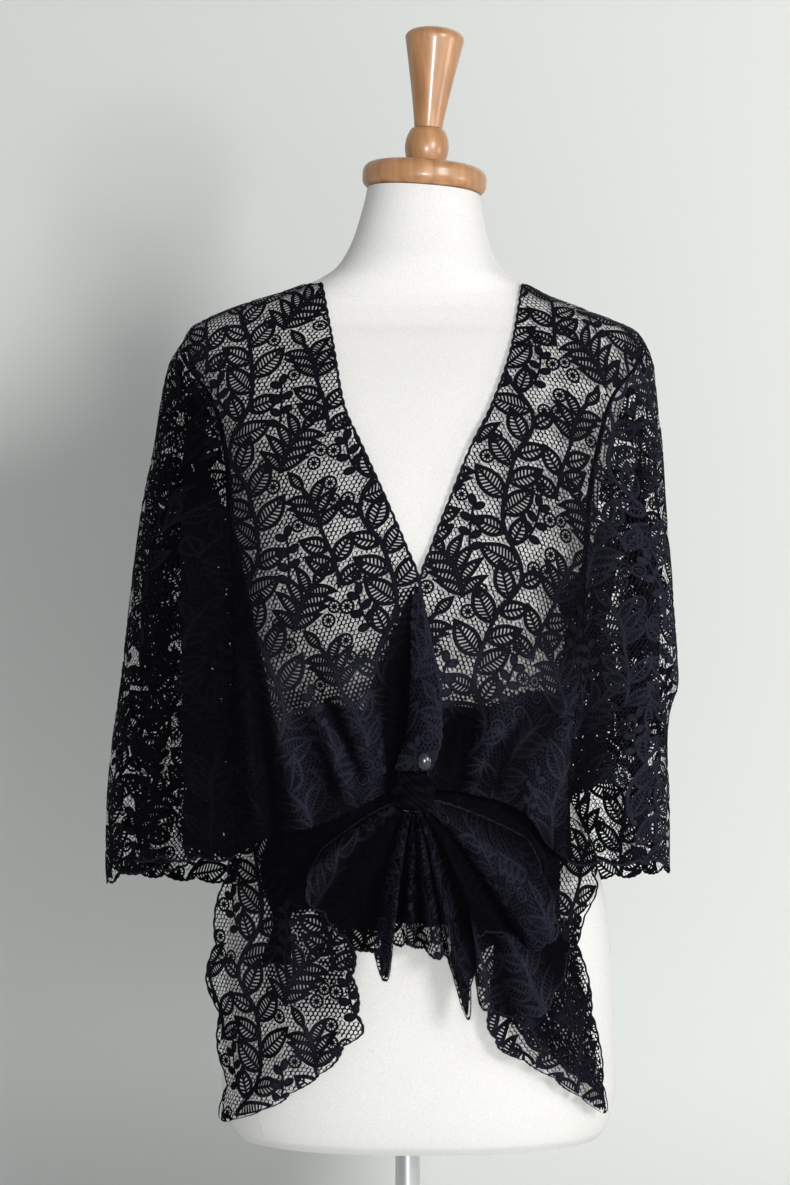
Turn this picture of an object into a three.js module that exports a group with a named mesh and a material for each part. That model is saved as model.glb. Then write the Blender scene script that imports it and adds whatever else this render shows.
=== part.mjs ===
// A lace shawl, tied at the waist, on a limbless dress form with a turned wooden cap and a short stand.
// Millimetres, +Z up, the front faces -Y. Heights h are measured from the bottom edge of the form.

import * as THREE from "three";

// Driving dimensions
const STAND_HEIGHT = 240;      // from the table to the bottom edge of the form
const FORM_OFFSET = 6;         // how far the form sits to one side of its pole
const CLOTH = 1.2;             // thickness of a lace wall
const SEAM = 0.3;              // gap between neighbouring pieces
const SHOULDER_REST = 2.4;     // between the form's shoulder curve and the inner face of the cloth
const SHOULDER_TIP = 648;      // height where the cloth leaves the shoulder
const NECK_POINT = 692;        // height of the top of the cloth beside the neck
const CENTRE = 2.5;            // where the fronts meet, in X
const FORM_SQUARENESS = 2.3;   // exponent of the form's sections
const BUST = { height: 440, spread: 60, width: 42, rise: 55, depth: 3 };
const NECK = { lean: THREE.MathUtils.degToRad(4.2), from: 705, top: 770 };
const BASE = { radius: 150, height: 16, edge: 5 };
const POLE_RADIUS = 10;
const CAP = { radius: 51, height: 21, edge: 8 };
const BEAD = { radius: 18, height: 31, neck: 12 };
const FINIAL = { foot: 11.5, radius: 24.2, height: 82, dome: 9 };
const KNOT = { x: -2.5, y: -132, h: 288, wide: 17, deep: 15, tall: 15 };
const GATHER = { x: 36, y: -112.4, h: 246, wide: 9, deep: 4, tall: 4 };
const LAPEL_REST = -0.2;         // of the lapel's inner edge, ahead of the front's plain curve
const BUTTON = { radius: 5.5, deep: 0.6, tall: 1.25 };

// Sections of the form: half width, depth in front and behind, and sideways shift
const FORM_SECTIONS = [
  { h: 0, half: 147, front: 95, back: 105, shift: 3 },
  { h: 8, half: 154, front: 101, back: 112, shift: 3 },
  { h: 42, half: 161, front: 105, back: 118, shift: 3 },
  { h: 108, half: 159, front: 104, back: 116, shift: 3 },
  { h: 150, half: 157, front: 101, back: 108, shift: 3 },
  { h: 190, half: 153, front: 98, back: 99, shift: 3 },
  { h: 240, half: 139, front: 91, back: 86, shift: 2 },
  { h: 300, half: 118, front: 85, back: 75, shift: 2 },
  { h: 350, half: 122, front: 93, back: 79, shift: 1 },
  { h: 400, half: 137, front: 110, back: 87, shift: 1 },
  { h: 437, half: 146, front: 120, back: 93, shift: 0 },
  { h: 470, half: 148, front: 120, back: 96, shift: 0 },
  { h: 518, half: 150, front: 111, back: 99, shift: 0 },
  { h: 560, half: 159, front: 98, back: 98, shift: 0 },
  { h: 600, half: 171, front: 83, back: 94, shift: 0 },
  { h: 628, half: 180, front: 70, back: 87, shift: 0 },
  { h: 648, half: 185, front: 60, back: 80, shift: -1 },
  { h: 657, half: 179, front: 55, back: 76, shift: -3 },
  { h: 665, half: 163, front: 52, back: 73, shift: -6 },
  { h: 675, half: 138, front: 49, back: 69, shift: -7 },
  { h: 685, half: 109, front: 48, back: 65, shift: -4 },
  { h: 692, half: 92, front: 49, back: 64, shift: 0 },
  { h: 699, half: 79, front: 51, back: 62, shift: 2 },
  { h: 709, half: 66, front: 52, back: 59, shift: 3 },
  { h: 729, half: 56, front: 49, back: 53, shift: 5 },
  { h: 750, half: 50, front: 47, back: 48, shift: 6 },
  { h: 765, half: 47, front: 46, back: 46, shift: 7 },
  { h: 770, half: 46, front: 45, back: 45, shift: 7 },
];

// Sections of the worn cloth below the shoulder tips; arm is the angle, in degrees, where front and back
// hand over to the sleeve, and square is the exponent of the section
const CLOTH_SECTIONS = [
  { h: 120, left: 236, right: 204, front: 112, back: 124, square: 1.9, arm: 54 },
  { h: 170, left: 244, right: 207, front: 114, back: 121, square: 1.85, arm: 54 },
  { h: 219, left: 253, right: 208, front: 119, back: 115, square: 1.85, arm: 54 },
  { h: 268, left: 252, right: 208, front: 124, back: 110, square: 1.85, arm: 54 },
  { h: 317, left: 248, right: 206, front: 127, back: 108, square: 1.85, arm: 53 },
  { h: 345, left: 244, right: 208, front: 127, back: 108, square: 1.85, arm: 52 },
  { h: 366, left: 241, right: 215, front: 128, back: 107, square: 1.85, arm: 52 },
  { h: 437, left: 233, right: 211, front: 129, back: 107, square: 1.85, arm: 50 },
  { h: 514, left: 223, right: 205, front: 118, back: 107, square: 1.85, arm: 47 },
  { h: 563, left: 213, right: 202, front: 105, back: 104, square: 1.9, arm: 43 },
  { h: 596, left: 208, right: 198, front: 91, back: 100, square: 2.0, arm: 38 },
  { h: 628, left: 201, right: 195, front: 76, back: 93, square: 2.1, arm: 22 },
  { h: 648, left: 189, right: 187, front: 63, back: 83, square: 2.3, arm: 0 },
];

// Inner edges of the fronts, as distances from the centre line: the neckline, the meeting line and the knot
const NECKLINE = [
  { h: 276, left: 21, right: 11 },
  { h: 292, left: 19, right: 8.2 },
  { h: 304, left: 14, right: 6 },
  { h: 318, left: 0.2, right: 0.2 },
  { h: 448, left: 0.2, right: 0.2 },
  { h: 479, left: 11, right: 10 },
  { h: 510, left: 24, right: 22 },
  { h: 557, left: 45, right: 41 },
  { h: 589, left: 59, right: 57 },
  { h: 638, left: 68, right: 74 },
  { h: 692, left: 78, right: 84 },
];

// Lower edges, as heights along each stretch from its start (0) to its end (1)
const FRONT_LEFT_EDGE = [
  { at: 0, h: 290 }, { at: 0.22, h: 276 }, { at: 0.45, h: 262 }, { at: 0.75, h: 252 }, { at: 1, h: 236 },
];
const FRONT_RIGHT_EDGE = [
  { at: 0, h: 290 }, { at: 0.4, h: 283 }, { at: 0.68, h: 270 }, { at: 0.85, h: 244 }, { at: 1, h: 232 },
];
const SLEEVE_LEFT_HEM = [
  { at: 0, h: 236 }, { at: 0.2, h: 230 }, { at: 0.38, h: 211 }, { at: 0.5, h: 208 }, { at: 0.58, h: 216 },
  { at: 0.8, h: 205 }, { at: 1, h: 196 },
];
const SLEEVE_RIGHT_HEM = [
  { at: 0, h: 232 }, { at: 0.3, h: 229 }, { at: 0.5, h: 217 }, { at: 0.6, h: 215 }, { at: 0.8, h: 206 },
  { at: 1, h: 200 },
];
const BACK_HEM = [
  { at: 0, h: 196 }, { at: 0.25, h: 160 }, { at: 0.5, h: 142 }, { at: 0.75, h: 162 }, { at: 1, h: 200 },
];

// Deep pleat of each sleeve: where it starts and ends along the sleeve's outline, and how far it folds over
const PLEAT_LEFT = { start: 0.02, end: 0.3, fold: 44, fullBelow: 440, goneAbove: 600 };
const PLEAT_RIGHT = { start: 0.03, end: 0.34, fold: 30, fullBelow: 440, goneAbove: 600 };

// Soft folds of the fronts, the back and the sleeves: a line from one point to another, as x and h, its width,
// and its depth, which is positive for a ridge and negative for a trough
const FOLDS = [
  { x0: -6, h0: 425, x1: -24, h1: 305, width: 15, depth: -16 },
  { x0: -60, h0: 400, x1: -34, h1: 300, width: 16, depth: 7 },
  { x0: -118, h0: 420, x1: -98, h1: 265, width: 20, depth: 8 },
  { x0: 104, h0: 400, x1: 40, h1: 296, width: 14, depth: 8 },
  { x0: 40, h0: 352, x1: 34, h1: 300, width: 18, depth: -18 },
  { x0: 118, h0: 350, x1: 98, h1: 268, width: 16, depth: 9 },
];
const BACK_FOLDS = [
  { x0: -118, h0: 560, x1: -128, h1: 190, width: 26, depth: 9 },
  { x0: -74, h0: 480, x1: -86, h1: 170, width: 24, depth: -6 },
  { x0: -30, h0: 520, x1: -38, h1: 150, width: 28, depth: 10 },
  { x0: 18, h0: 460, x1: 16, h1: 145, width: 22, depth: -5 },
  { x0: 62, h0: 540, x1: 70, h1: 160, width: 27, depth: 10 },
  { x0: 112, h0: 500, x1: 122, h1: 185, width: 22, depth: 6 },
];

// The lapel's two edges, and how far its free edge stands off the front
const LAPEL = [
  { h: 304.5, inner: -17, outer: 10, stand: 12 },
  { h: 316, inner: -13, outer: 15, stand: 14 },
  { h: 332, inner: -8, outer: 19, stand: 15 },
  { h: 359, inner: -5, outer: 19, stand: 13 },
  { h: 390, inner: -4, outer: 14, stand: 10 },
  { h: 421, inner: -4, outer: 8, stand: 6 },
  { h: 446, inner: -1, outer: 3, stand: 2 },
];

// Fans below the knot: the hem end of each fold line, in order round the knot
const TAIL_LEFT = [
  { x: -72, y: -130, h: 244 }, { x: -83, y: -142, h: 214 }, { x: -66, y: -124, h: 190 },
  { x: -49, y: -122, h: 171 }, { x: -34, y: -134, h: 168 }, { x: -23, y: -152, h: 148 },
  { x: -19, y: -136, h: 168 },
];
const TAIL_MIDDLE = [
  { x: -12, y: -112, h: 171 }, { x: -5, y: -128, h: 173 }, { x: 3, y: -114, h: 169 },
  { x: 16, y: -134, h: 164 }, { x: 24, y: -114, h: 161 }, { x: 31, y: -130, h: 141 },
  { x: 39, y: -135, h: 116 }, { x: 43, y: -120, h: 148 },
];
const TAIL_RIGHT = [
  { x: 84, y: -138, h: 254 }, { x: 104, y: -146, h: 202 }, { x: 103, y: -158, h: 181 },
  { x: 87, y: -142, h: 171 }, { x: 68, y: -128, h: 183 }, { x: 48, y: -136, h: 180 },
];
const TAIL_UNDER = [
  { x: 47, y: -114, h: 141 }, { x: 52, y: -124, h: 123 }, { x: 72, y: -118, h: 117 },
  { x: 93, y: -128, h: 118 }, { x: 107, y: -120, h: 135 }, { x: 119, y: -108, h: 167 },
];

// How early along its length a tail spreads aside, comes forward and drops
const TAIL_FALL = { aside: 0.85, forward: 0.8, drop: 1.1 };

// Hanging corners: outer and inner edge of each row, and the depth of the cloth there
const FLAP_LEFT = [
  { h: 280, outer: -112, inner: -9, outerY: -84, innerY: -119.2 },
  { h: 252, outer: -134, inner: -44, outerY: -78, innerY: -112 },
  { h: 228, outer: -145, inner: -67, outerY: -72, innerY: -109 },
  { h: 197, outer: -153, inner: -58, outerY: -66, innerY: -110 },
  { h: 165, outer: -158, inner: -52, outerY: -62, innerY: -111 },
  { h: 134, outer: -162, inner: -50, outerY: -60, innerY: -113 },
  { h: 103, outer: -155, inner: -45, outerY: -60, innerY: -115 },
  { h: 87, outer: -154, inner: -60, outerY: -62, innerY: -113 },
  { h: 71, outer: -152, inner: -72, outerY: -63, innerY: -110 },
  { h: 56, outer: -149, inner: -93, outerY: -65, innerY: -104 },
  { h: 40, outer: -151, inner: -115, outerY: -66, innerY: -94 },
  { h: 23, outer: -154, inner: -150, outerY: -68, innerY: -72 },
];
const FLAP_RIGHT = [
  { h: 280, outer: 110, inner: 4, outerY: -86, innerY: -119.2 },
  { h: 250, outer: 132, inner: 50, outerY: -78, innerY: -112 },
  { h: 212, outer: 142, inner: 72, outerY: -70, innerY: -105 },
  { h: 181, outer: 128, inner: 78, outerY: -78, innerY: -103 },
  { h: 165, outer: 127, inner: 70, outerY: -78, innerY: -104 },
  { h: 134, outer: 132, inner: 62, outerY: -76, innerY: -107 },
  { h: 103, outer: 139, inner: 60, outerY: -74, innerY: -110 },
  { h: 90, outer: 140, inner: 66, outerY: -74, innerY: -110 },
  { h: 71, outer: 144, inner: 97, outerY: -72, innerY: -102 },
  { h: 56, outer: 147, inner: 118, outerY: -71, innerY: -94 },
  { h: 40, outer: 149, inner: 137, outerY: -70, innerY: -82 },
  { h: 30, outer: 151, inner: 148, outerY: -70, innerY: -73 },
];
const FLAP_RIPPLE = { waves: 2.5, depth: 4, fullBelow: 190, goneAbove: 240 };

// How finely each stretch is divided
const SHOULDER_ROWS = [692, 685, 675, 665, 657, 650];
const FALL_ROWS = 11;
const FRONT_COLUMNS = 9;
const SLEEVE_COLUMNS = 24;
const BACK_COLUMNS = 19;
const TAIL_ROWS = 7;
const LAPEL_ROWS = 10;
const LAPEL_COLUMNS = 5;
const FLAP_COLUMNS = 9;
const FORM_COLUMNS = 48;

const mix = (a, b, t) => a + (b - a) * t;

// A smooth curve through one column of a table, with no overshoot between rows
function curve(table, key, column) {
  const rows = [...table].sort((p, q) => p[key] - q[key]);
  const slope = rows.map((row, i) => {
    const before = rows[Math.max(i - 1, 0)];
    const after = rows[Math.min(i + 1, rows.length - 1)];
    const left = (row[column] - before[column]) / Math.max(row[key] - before[key], 1e-9);
    const right = (after[column] - row[column]) / Math.max(after[key] - row[key], 1e-9);
    if (before === row || after === row) return before === row ? right : left;
    return left * right <= 0 ? 0 : (2 * left * right) / (left + right);
  });
  return (at) => {
    const clamped = Math.min(Math.max(at, rows[0][key]), rows[rows.length - 1][key]);
    const i = Math.max(1, rows.findIndex((row, n) => n > 0 && row[key] >= clamped));
    const span = rows[i][key] - rows[i - 1][key];
    const t = (clamped - rows[i - 1][key]) / span;
    const rise = 3 * t * t - 2 * t * t * t;
    const leave = t * (1 - t) * (1 - t) * span * slope[i - 1];
    const arrive = t * t * (t - 1) * span * slope[i];
    return mix(rows[i - 1][column], rows[i][column], rise) + leave + arrive;
  };
}

const columns = (table, key, names) => Object.fromEntries(names.map((name) => [name, curve(table, key, name)]));
const form = columns(FORM_SECTIONS, "h", ["half", "front", "back", "shift"]);
const cloth = columns(CLOTH_SECTIONS, "h", ["left", "right", "front", "back", "square", "arm"]);
const neckline = columns(NECKLINE, "h", ["left", "right"]);

// A solid between closed rings of points, each ring running anticlockwise seen from above
function loft(rings) {
  const around = rings[0].length;
  const points = rings.flat();
  const faces = [];
  for (let r = 0; r + 1 < rings.length; r += 1) {
    for (let c = 0; c < around; c += 1) {
      const a = r * around + c;
      const b = r * around + ((c + 1) % around);
      faces.push(a, b, b + around, a, b + around, a + around);
    }
  }
  const last = (rings.length - 1) * around;
  for (const [start, turned] of [[0, true], [last, false]]) {
    const middle = new THREE.Vector3();
    for (let c = 0; c < around; c += 1) middle.addScaledVector(points[start + c], 1 / around);
    points.push(middle);
    for (let c = 0; c < around; c += 1) {
      const a = start + c;
      const b = start + ((c + 1) % around);
      faces.push(...(turned ? [b, a, points.length - 1] : [a, b, points.length - 1]));
    }
  }
  return solid(points, faces);
}

function solid(points, faces) {
  const geometry = new THREE.BufferGeometry().setFromPoints(points);
  geometry.setIndex(faces);
  geometry.computeVertexNormals();
  return geometry;
}

// A wall of cloth over a grid of points; its other face lies one thickness away on the side that outward gives
function wall(grid, outward) {
  const rows = grid.length;
  const across = grid[0].length;
  const at = (r, c) => grid[Math.min(Math.max(r, 0), rows - 1)][Math.min(Math.max(c, 0), across - 1)];
  const points = grid.flat();
  const count = points.length;
  let agreement = 0;
  const normals = points.map((point, i) => {
    const r = Math.floor(i / across);
    const c = i % across;
    const down = at(r + 1, c).clone().sub(at(r - 1, c));
    const side = at(r, c + 1).clone().sub(at(r, c - 1));
    const normal = side.cross(down).normalize();
    agreement += normal.dot(outward);
    return normal;
  });
  const sign = agreement < 0 ? -1 : 1;
  normals.forEach((normal, i) => points.push(points[i].clone().addScaledVector(normal, sign * CLOTH)));
  const faces = [];
  const quad = (a, b, c, d) => faces.push(...(sign > 0 ? [a, b, c, a, c, d] : [a, c, b, a, d, c]));
  for (let r = 0; r + 1 < rows; r += 1) {
    for (let c = 0; c + 1 < across; c += 1) {
      const a = r * across + c;
      quad(a, a + across, a + across + 1, a + 1);
      quad(a + count, a + count + 1, a + count + across + 1, a + count + across);
    }
  }
  const rim = [];
  for (let c = 0; c + 1 < across; c += 1) rim.push(c);
  for (let r = 0; r + 1 < rows; r += 1) rim.push(r * across + across - 1);
  for (let c = across - 1; c > 0; c -= 1) rim.push((rows - 1) * across + c);
  for (let r = rows - 1; r > 0; r -= 1) rim.push(r * across);
  rim.forEach((a, i) => {
    const b = rim[(i + 1) % rim.length];
    quad(a, b, b + count, a + count);
  });
  return solid(points, faces);
}

// Points spaced evenly along a line, leaving a seam's gap free at each end
function spaced(line, count) {
  const lengths = [0];
  for (let i = 1; i < line.length; i += 1) lengths.push(lengths[i - 1] + line[i].distanceTo(line[i - 1]));
  const total = lengths[lengths.length - 1];
  return Array.from({ length: count }, (_, n) => {
    const reach = mix(SEAM, total - SEAM, n / (count - 1));
    const i = Math.max(1, lengths.findIndex((length) => length >= reach));
    const t = (reach - lengths[i - 1]) / (lengths[i] - lengths[i - 1]);
    return line[i - 1].clone().lerp(line[i], t);
  });
}

const power = (value, exponent) => Math.sign(value) * Math.abs(value) ** exponent;

// How far a set of soft folds lifts the cloth at a place
function lift(folds, x, h) {
  let sum = 0;
  for (const { x0, h0, x1, h1, width, depth } of folds) {
    const along = ((x - x0) * (x1 - x0) + (h - h0) * (h1 - h0)) / ((x1 - x0) ** 2 + (h1 - h0) ** 2);
    const inside = Math.min(Math.max(along, 0), 1);
    const away = Math.hypot(x - mix(x0, x1, inside), h - mix(h0, h1, inside));
    const swell = Math.min(1, 0.25 + inside * 1.5);
    sum += depth * swell * Math.exp(-((away / width) ** 2));
  }
  return sum;
}

// The section of the cloth at a height, on one side: on the shoulders it rides on the form
function section(h, side) {
  if (h >= SHOULDER_TIP) {
    const centre = form.shift(h);
    return {
      half: form.half(h) + SHOULDER_REST + side * (centre - CENTRE),
      front: form.front(h) + SHOULDER_REST,
      back: form.back(h) + SHOULDER_REST,
      square: FORM_SQUARENESS,
      arm: 0,
    };
  }
  return {
    half: (side < 0 ? cloth.left(h) : cloth.right(h)) - side * CENTRE,
    front: cloth.front(h),
    back: cloth.back(h),
    square: cloth.square(h),
    arm: THREE.MathUtils.degToRad(cloth.arm(h)),
  };
}

// A point of the cloth at an angle from the side: 90 degrees is the centre front, -90 the centre back
function clothPoint(h, side, angle) {
  const { half, front, back, square } = section(h, side);
  const x = CENTRE + side * half * power(Math.cos(angle), 2 / square);
  const depth = angle > 0 ? front : back;
  let y = -depth * power(Math.sin(angle), 2 / square);
  const facing = Math.abs(Math.sin(angle));
  y -= facing * lift(angle > 0 ? FOLDS : [], x, h);
  y += facing * lift(angle < 0 ? BACK_FOLDS : [], x, h);
  return new THREE.Vector3(x, y, h);
}

const angleAt = (h, side, reach) => {
  const { half, square } = section(h, side);
  return Math.acos(Math.min(1, reach / half) ** (square / 2));
};

const STEPS = 72;
const line = (place) => Array.from({ length: STEPS + 1 }, (_, n) => place(n / STEPS));
const fallShares = Array.from({ length: FALL_ROWS }, (_, n) => ((n + 0.3) / (FALL_ROWS - 0.7)) ** 1.5);
const fallTop = SHOULDER_ROWS[SHOULDER_ROWS.length - 1];

// Front: rows from the shoulder ridge down to the bloused edge, each from the armhole line to the inner edge
function frontGrid(side, edge) {
  const name = side < 0 ? "left" : "right";
  const low = curve(edge, "at", "h");
  const armRows = [...SHOULDER_ROWS, ...fallShares.map((share) => mix(fallTop, low(1), share))];
  return armRows.map((armHeight) => {
    const share = (NECK_POINT - armHeight) / (NECK_POINT - low(1));
    const innerHeight = mix(NECK_POINT, low(0), share);
    const outer = section(armHeight, side).arm;
    const inner = angleAt(innerHeight, side, neckline[name](innerHeight));
    const row = line((t) => clothPoint(mix(NECK_POINT, low(1 - t), share), side, mix(outer, inner, t)));
    return spaced(row, FRONT_COLUMNS);
  });
}

// Sleeve: rows from the shoulder tip to the hem, each from the front armhole line round to the back one
function sleeveGrid(side, hem, pleat) {
  const low = curve(hem, "at", "h");
  return fallShares.map((share) => {
    const row = line((t) => {
      const h = mix(fallTop, low(t), share);
      const arm = section(h, side).arm;
      const point = clothPoint(h, side, mix(arm, -arm, t));
      const open = THREE.MathUtils.smoothstep(pleat.goneAbove - h, 0, pleat.goneAbove - pleat.fullBelow);
      const turn = THREE.MathUtils.clamp((t - pleat.start) / (pleat.end - pleat.start), 0, 1);
      point.x += side * pleat.fold * open * Math.sin(2 * Math.PI * turn);
      return point;
    });
    return spaced(row, SLEEVE_COLUMNS);
  });
}

// Back: rows from the nape to the back hem, each from the left armhole line to the right one
function backGrid() {
  const low = curve(BACK_HEM, "at", "h");
  const ends = [SLEEVE_LEFT_HEM, SLEEVE_RIGHT_HEM].map((hem) => hem[hem.length - 1].h);
  const shares = [...SHOULDER_ROWS.map(() => 0), ...fallShares];
  return shares.map((share, r) => {
    const top = SHOULDER_ROWS[Math.min(r, SHOULDER_ROWS.length - 1)];
    const armHeights = ends.map((end) => mix(top, end, share));
    const row = line((t) => {
      const side = t < 0.5 ? -1 : 1;
      const h = mix(top, low(t), share);
      const arm = section(armHeights[side < 0 ? 0 : 1], side).arm;
      return clothPoint(h, side, -mix(arm, Math.PI / 2, 1 - Math.abs(2 * t - 1)));
    });
    return spaced(row, BACK_COLUMNS);
  });
}

// Lapel: from its inner edge, which lies on the front, to its free edge, which stands off it
function lapelGrid() {
  const edges = columns(LAPEL, "h", ["inner", "outer", "stand"]);
  const top = LAPEL[LAPEL.length - 1].h;
  const heights = Array.from({ length: LAPEL_ROWS }, (_, n) => mix(top, LAPEL[0].h, n / (LAPEL_ROWS - 1)));
  return heights.map((h) => Array.from({ length: LAPEL_COLUMNS }, (_, n) => {
    const t = n / (LAPEL_COLUMNS - 1);
    const x = mix(edges.inner(h), edges.outer(h), t);
    const side = x < CENTRE ? -1 : 1;
    const front = clothPoint(h, side, angleAt(h, side, Math.abs(x - CENTRE)));
    const stand = LAPEL_REST + edges.stand(h) * Math.sin(0.5 * Math.PI * t);
    return new THREE.Vector3(x, Math.min(front.y, -section(h, side).front) - stand, h);
  }));
}

// Tail: fold lines that leave the knot and fall to the hem
function tailGrid(ends, from) {
  const centre = new THREE.Vector3(from.x, from.y, from.h);
  const tips = ends.map(({ x, y, h }) => new THREE.Vector3(x, y, h));
  const hem = new THREE.CatmullRomCurve3(tips, false, "centripetal");
  const count = 2 * ends.length - 1;
  const lines = hem.getPoints(count - 1).map((end) => {
    const way = end.clone().sub(centre);
    const radius = 1 / Math.hypot(way.x / from.wide, way.y / from.deep, way.z / from.tall);
    const start = centre.clone().addScaledVector(way, radius);
    start.addScaledVector(way.normalize(), 2 * SEAM);
    return { start, end };
  });
  return Array.from({ length: TAIL_ROWS }, (_, r) => lines.map(({ start, end }) => {
    const t = r / (TAIL_ROWS - 1);
    const { aside, forward, drop } = TAIL_FALL;
    const x = mix(start.x, end.x, t ** aside);
    const y = mix(start.y, end.y, t ** forward);
    return new THREE.Vector3(x, y, mix(start.z, end.z, t ** drop));
  }));
}

// Flap: rows from under the bloused edge down to the tip
function flapGrid(table) {
  return table.map(({ h, outer, inner, outerY, innerY }) => Array.from({ length: FLAP_COLUMNS }, (_, n) => {
    const t = n / (FLAP_COLUMNS - 1);
    const round = Math.sin(0.5 * Math.PI * t);
    const width = Math.abs(outer - inner);
    const free = 1 - THREE.MathUtils.smoothstep(h, FLAP_RIPPLE.fullBelow, FLAP_RIPPLE.goneAbove);
    const ripple = free * Math.min(1, width / 60) * Math.sin(Math.PI * FLAP_RIPPLE.waves * t) ** 2;
    return new THREE.Vector3(mix(outer, inner, t), mix(outerY, innerY, round) - FLAP_RIPPLE.depth * ripple, h);
  }));
}

// The form: one smooth cover from its bottom edge to the top of the neck, which leans a little to one side
function formGeometry() {
  const rings = FORM_SECTIONS.map(({ h, half, front, back, shift }) => {
    return Array.from({ length: FORM_COLUMNS }, (_, n) => {
      const angle = (2 * Math.PI * n) / FORM_COLUMNS;
      const across = half * power(Math.cos(angle), 2 / FORM_SQUARENESS);
      const depth = Math.sin(angle) < 0 ? front : back;
      let y = depth * power(Math.sin(angle), 2 / FORM_SQUARENESS);
      const aside = (Math.abs(across) - BUST.spread) / BUST.width;
      const above = (h - BUST.height) / BUST.rise;
      if (y < 0) y -= BUST.depth * Math.exp(-(aside ** 2) - above ** 2);
      const lean = NECK.lean * THREE.MathUtils.clamp((h - NECK.from) / (NECK.top - NECK.from), 0, 1);
      return new THREE.Vector3(shift + across, y, h - across * Math.tan(lean));
    });
  });
  return loft(rings);
}

// A turned piece, from a profile of radii and heights that starts and ends on the axis
function turned(profile, segments) {
  const lathe = new THREE.LatheGeometry(profile.map(([radius, h]) => new THREE.Vector2(radius, h)), segments);
  return lathe.rotateX(Math.PI / 2);
}

// A quarter round between two points of a profile
function rounded(radius, h, size, from, steps) {
  return Array.from({ length: steps + 1 }, (_, n) => {
    const angle = from + (0.5 * Math.PI * n) / steps;
    return [radius + size * Math.cos(angle), h + size * Math.sin(angle)];
  });
}

function capGeometry() {
  const { radius, height, edge } = CAP;
  const flat = radius - edge;
  const foot = rounded(flat, edge, edge, -0.5 * Math.PI, 4);
  const brim = rounded(flat, height - edge, edge, 0, 4);
  return turned([[0, 0], ...foot, ...brim, [0, height]], 32);
}

function beadGeometry() {
  const { radius, height, neck } = BEAD;
  const profile = Array.from({ length: 9 }, (_, n) => {
    const t = n / 8;
    return [mix(neck, radius, Math.sin(Math.PI * t) ** 0.6), height * t];
  });
  return turned([[0, 0], ...profile, [0, height]], 28);
}

function finialGeometry() {
  const { foot, radius, height, dome } = FINIAL;
  const shaft = Array.from({ length: 7 }, (_, n) => {
    const t = n / 6;
    return [mix(foot, radius, t ** 1.15), (height - dome) * t];
  });
  const top = Array.from({ length: 5 }, (_, n) => {
    const angle = (0.5 * Math.PI * (n + 1)) / 5;
    return [radius * Math.cos(angle) ** 0.7, height - dome + dome * Math.sin(angle)];
  });
  top[top.length - 1][0] = 0;
  return turned([[0, 0], ...shaft, ...top], 28);
}

function baseGeometry() {
  const { radius, height, edge } = BASE;
  const brim = rounded(radius - edge, height - edge, edge, 0, 4);
  return turned([[0, 0], [radius, 0], ...brim, [0, height]], 40);
}

function knotGeometry() {
  return new THREE.SphereGeometry(1, 16, 10).scale(KNOT.wide, KNOT.tall, KNOT.deep).rotateX(Math.PI / 2);
}

const lace = () => new THREE.MeshStandardMaterial({ color: 0x12121a, roughness: 0.85, metalness: 0 });
const linen = () => new THREE.MeshStandardMaterial({ color: 0xecebe9, roughness: 0.9, metalness: 0 });
const wood = () => new THREE.MeshStandardMaterial({ color: 0xca986d, roughness: 0.4, metalness: 0 });
const steel = () => new THREE.MeshStandardMaterial({ color: 0xb9bcc0, roughness: 0.25, metalness: 1 });
const horn = () => new THREE.MeshStandardMaterial({ color: 0x1b1b24, roughness: 0.3, metalness: 0 });

const stand = new THREE.Group();
const dressed = new THREE.Group();
dressed.position.set(FORM_OFFSET, 0, STAND_HEIGHT);
stand.add(dressed);

function add(group, name, geometry, material) {
  const mesh = new THREE.Mesh(geometry, material);
  mesh.name = name;
  group.add(mesh);
  return mesh;
}

const FORWARD = new THREE.Vector3(0, -1, 0);
const BACKWARD = new THREE.Vector3(0, 1, 0);
const LEFTWARD = new THREE.Vector3(-1, 0, 0);
const RIGHTWARD = new THREE.Vector3(1, 0, 0);

add(dressed, "back", wall(backGrid(), BACKWARD), lace());
add(dressed, "front_left", wall(frontGrid(-1, FRONT_LEFT_EDGE), FORWARD), lace());
add(dressed, "front_right", wall(frontGrid(1, FRONT_RIGHT_EDGE), FORWARD), lace());
add(dressed, "sleeve_left", wall(sleeveGrid(-1, SLEEVE_LEFT_HEM, PLEAT_LEFT), LEFTWARD), lace());
add(dressed, "sleeve_right", wall(sleeveGrid(1, SLEEVE_RIGHT_HEM, PLEAT_RIGHT), RIGHTWARD), lace());

const lapel = lapelGrid();
add(dressed, "lapel", wall(lapel, FORWARD), lace());
add(dressed, "tail_left", wall(tailGrid(TAIL_LEFT, KNOT), FORWARD), lace());
add(dressed, "tail_middle", wall(tailGrid(TAIL_MIDDLE, KNOT), FORWARD), lace());
add(dressed, "tail_right", wall(tailGrid(TAIL_RIGHT, KNOT), FORWARD), lace());
add(dressed, "tail_under", wall(tailGrid(TAIL_UNDER, GATHER), FORWARD), lace());
add(dressed, "flap_left", wall(flapGrid(FLAP_LEFT), FORWARD), lace());
add(dressed, "flap_right", wall(flapGrid(FLAP_RIGHT), FORWARD), lace());

const knot = add(dressed, "knot", knotGeometry(), lace());
knot.position.set(KNOT.x, KNOT.y, KNOT.h);

const { radius, deep, tall } = BUTTON;
const button = add(dressed, "button", new THREE.SphereGeometry(radius, 12, 8).scale(1, deep, tall), horn());
button.position.copy(lapel[LAPEL_ROWS - 1][3]).lerp(lapel[LAPEL_ROWS - 2][3], 0.5);
button.position.addScaledVector(FORWARD, CLOTH + SEAM + deep * radius);

add(dressed, "form", formGeometry(), linen());

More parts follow.
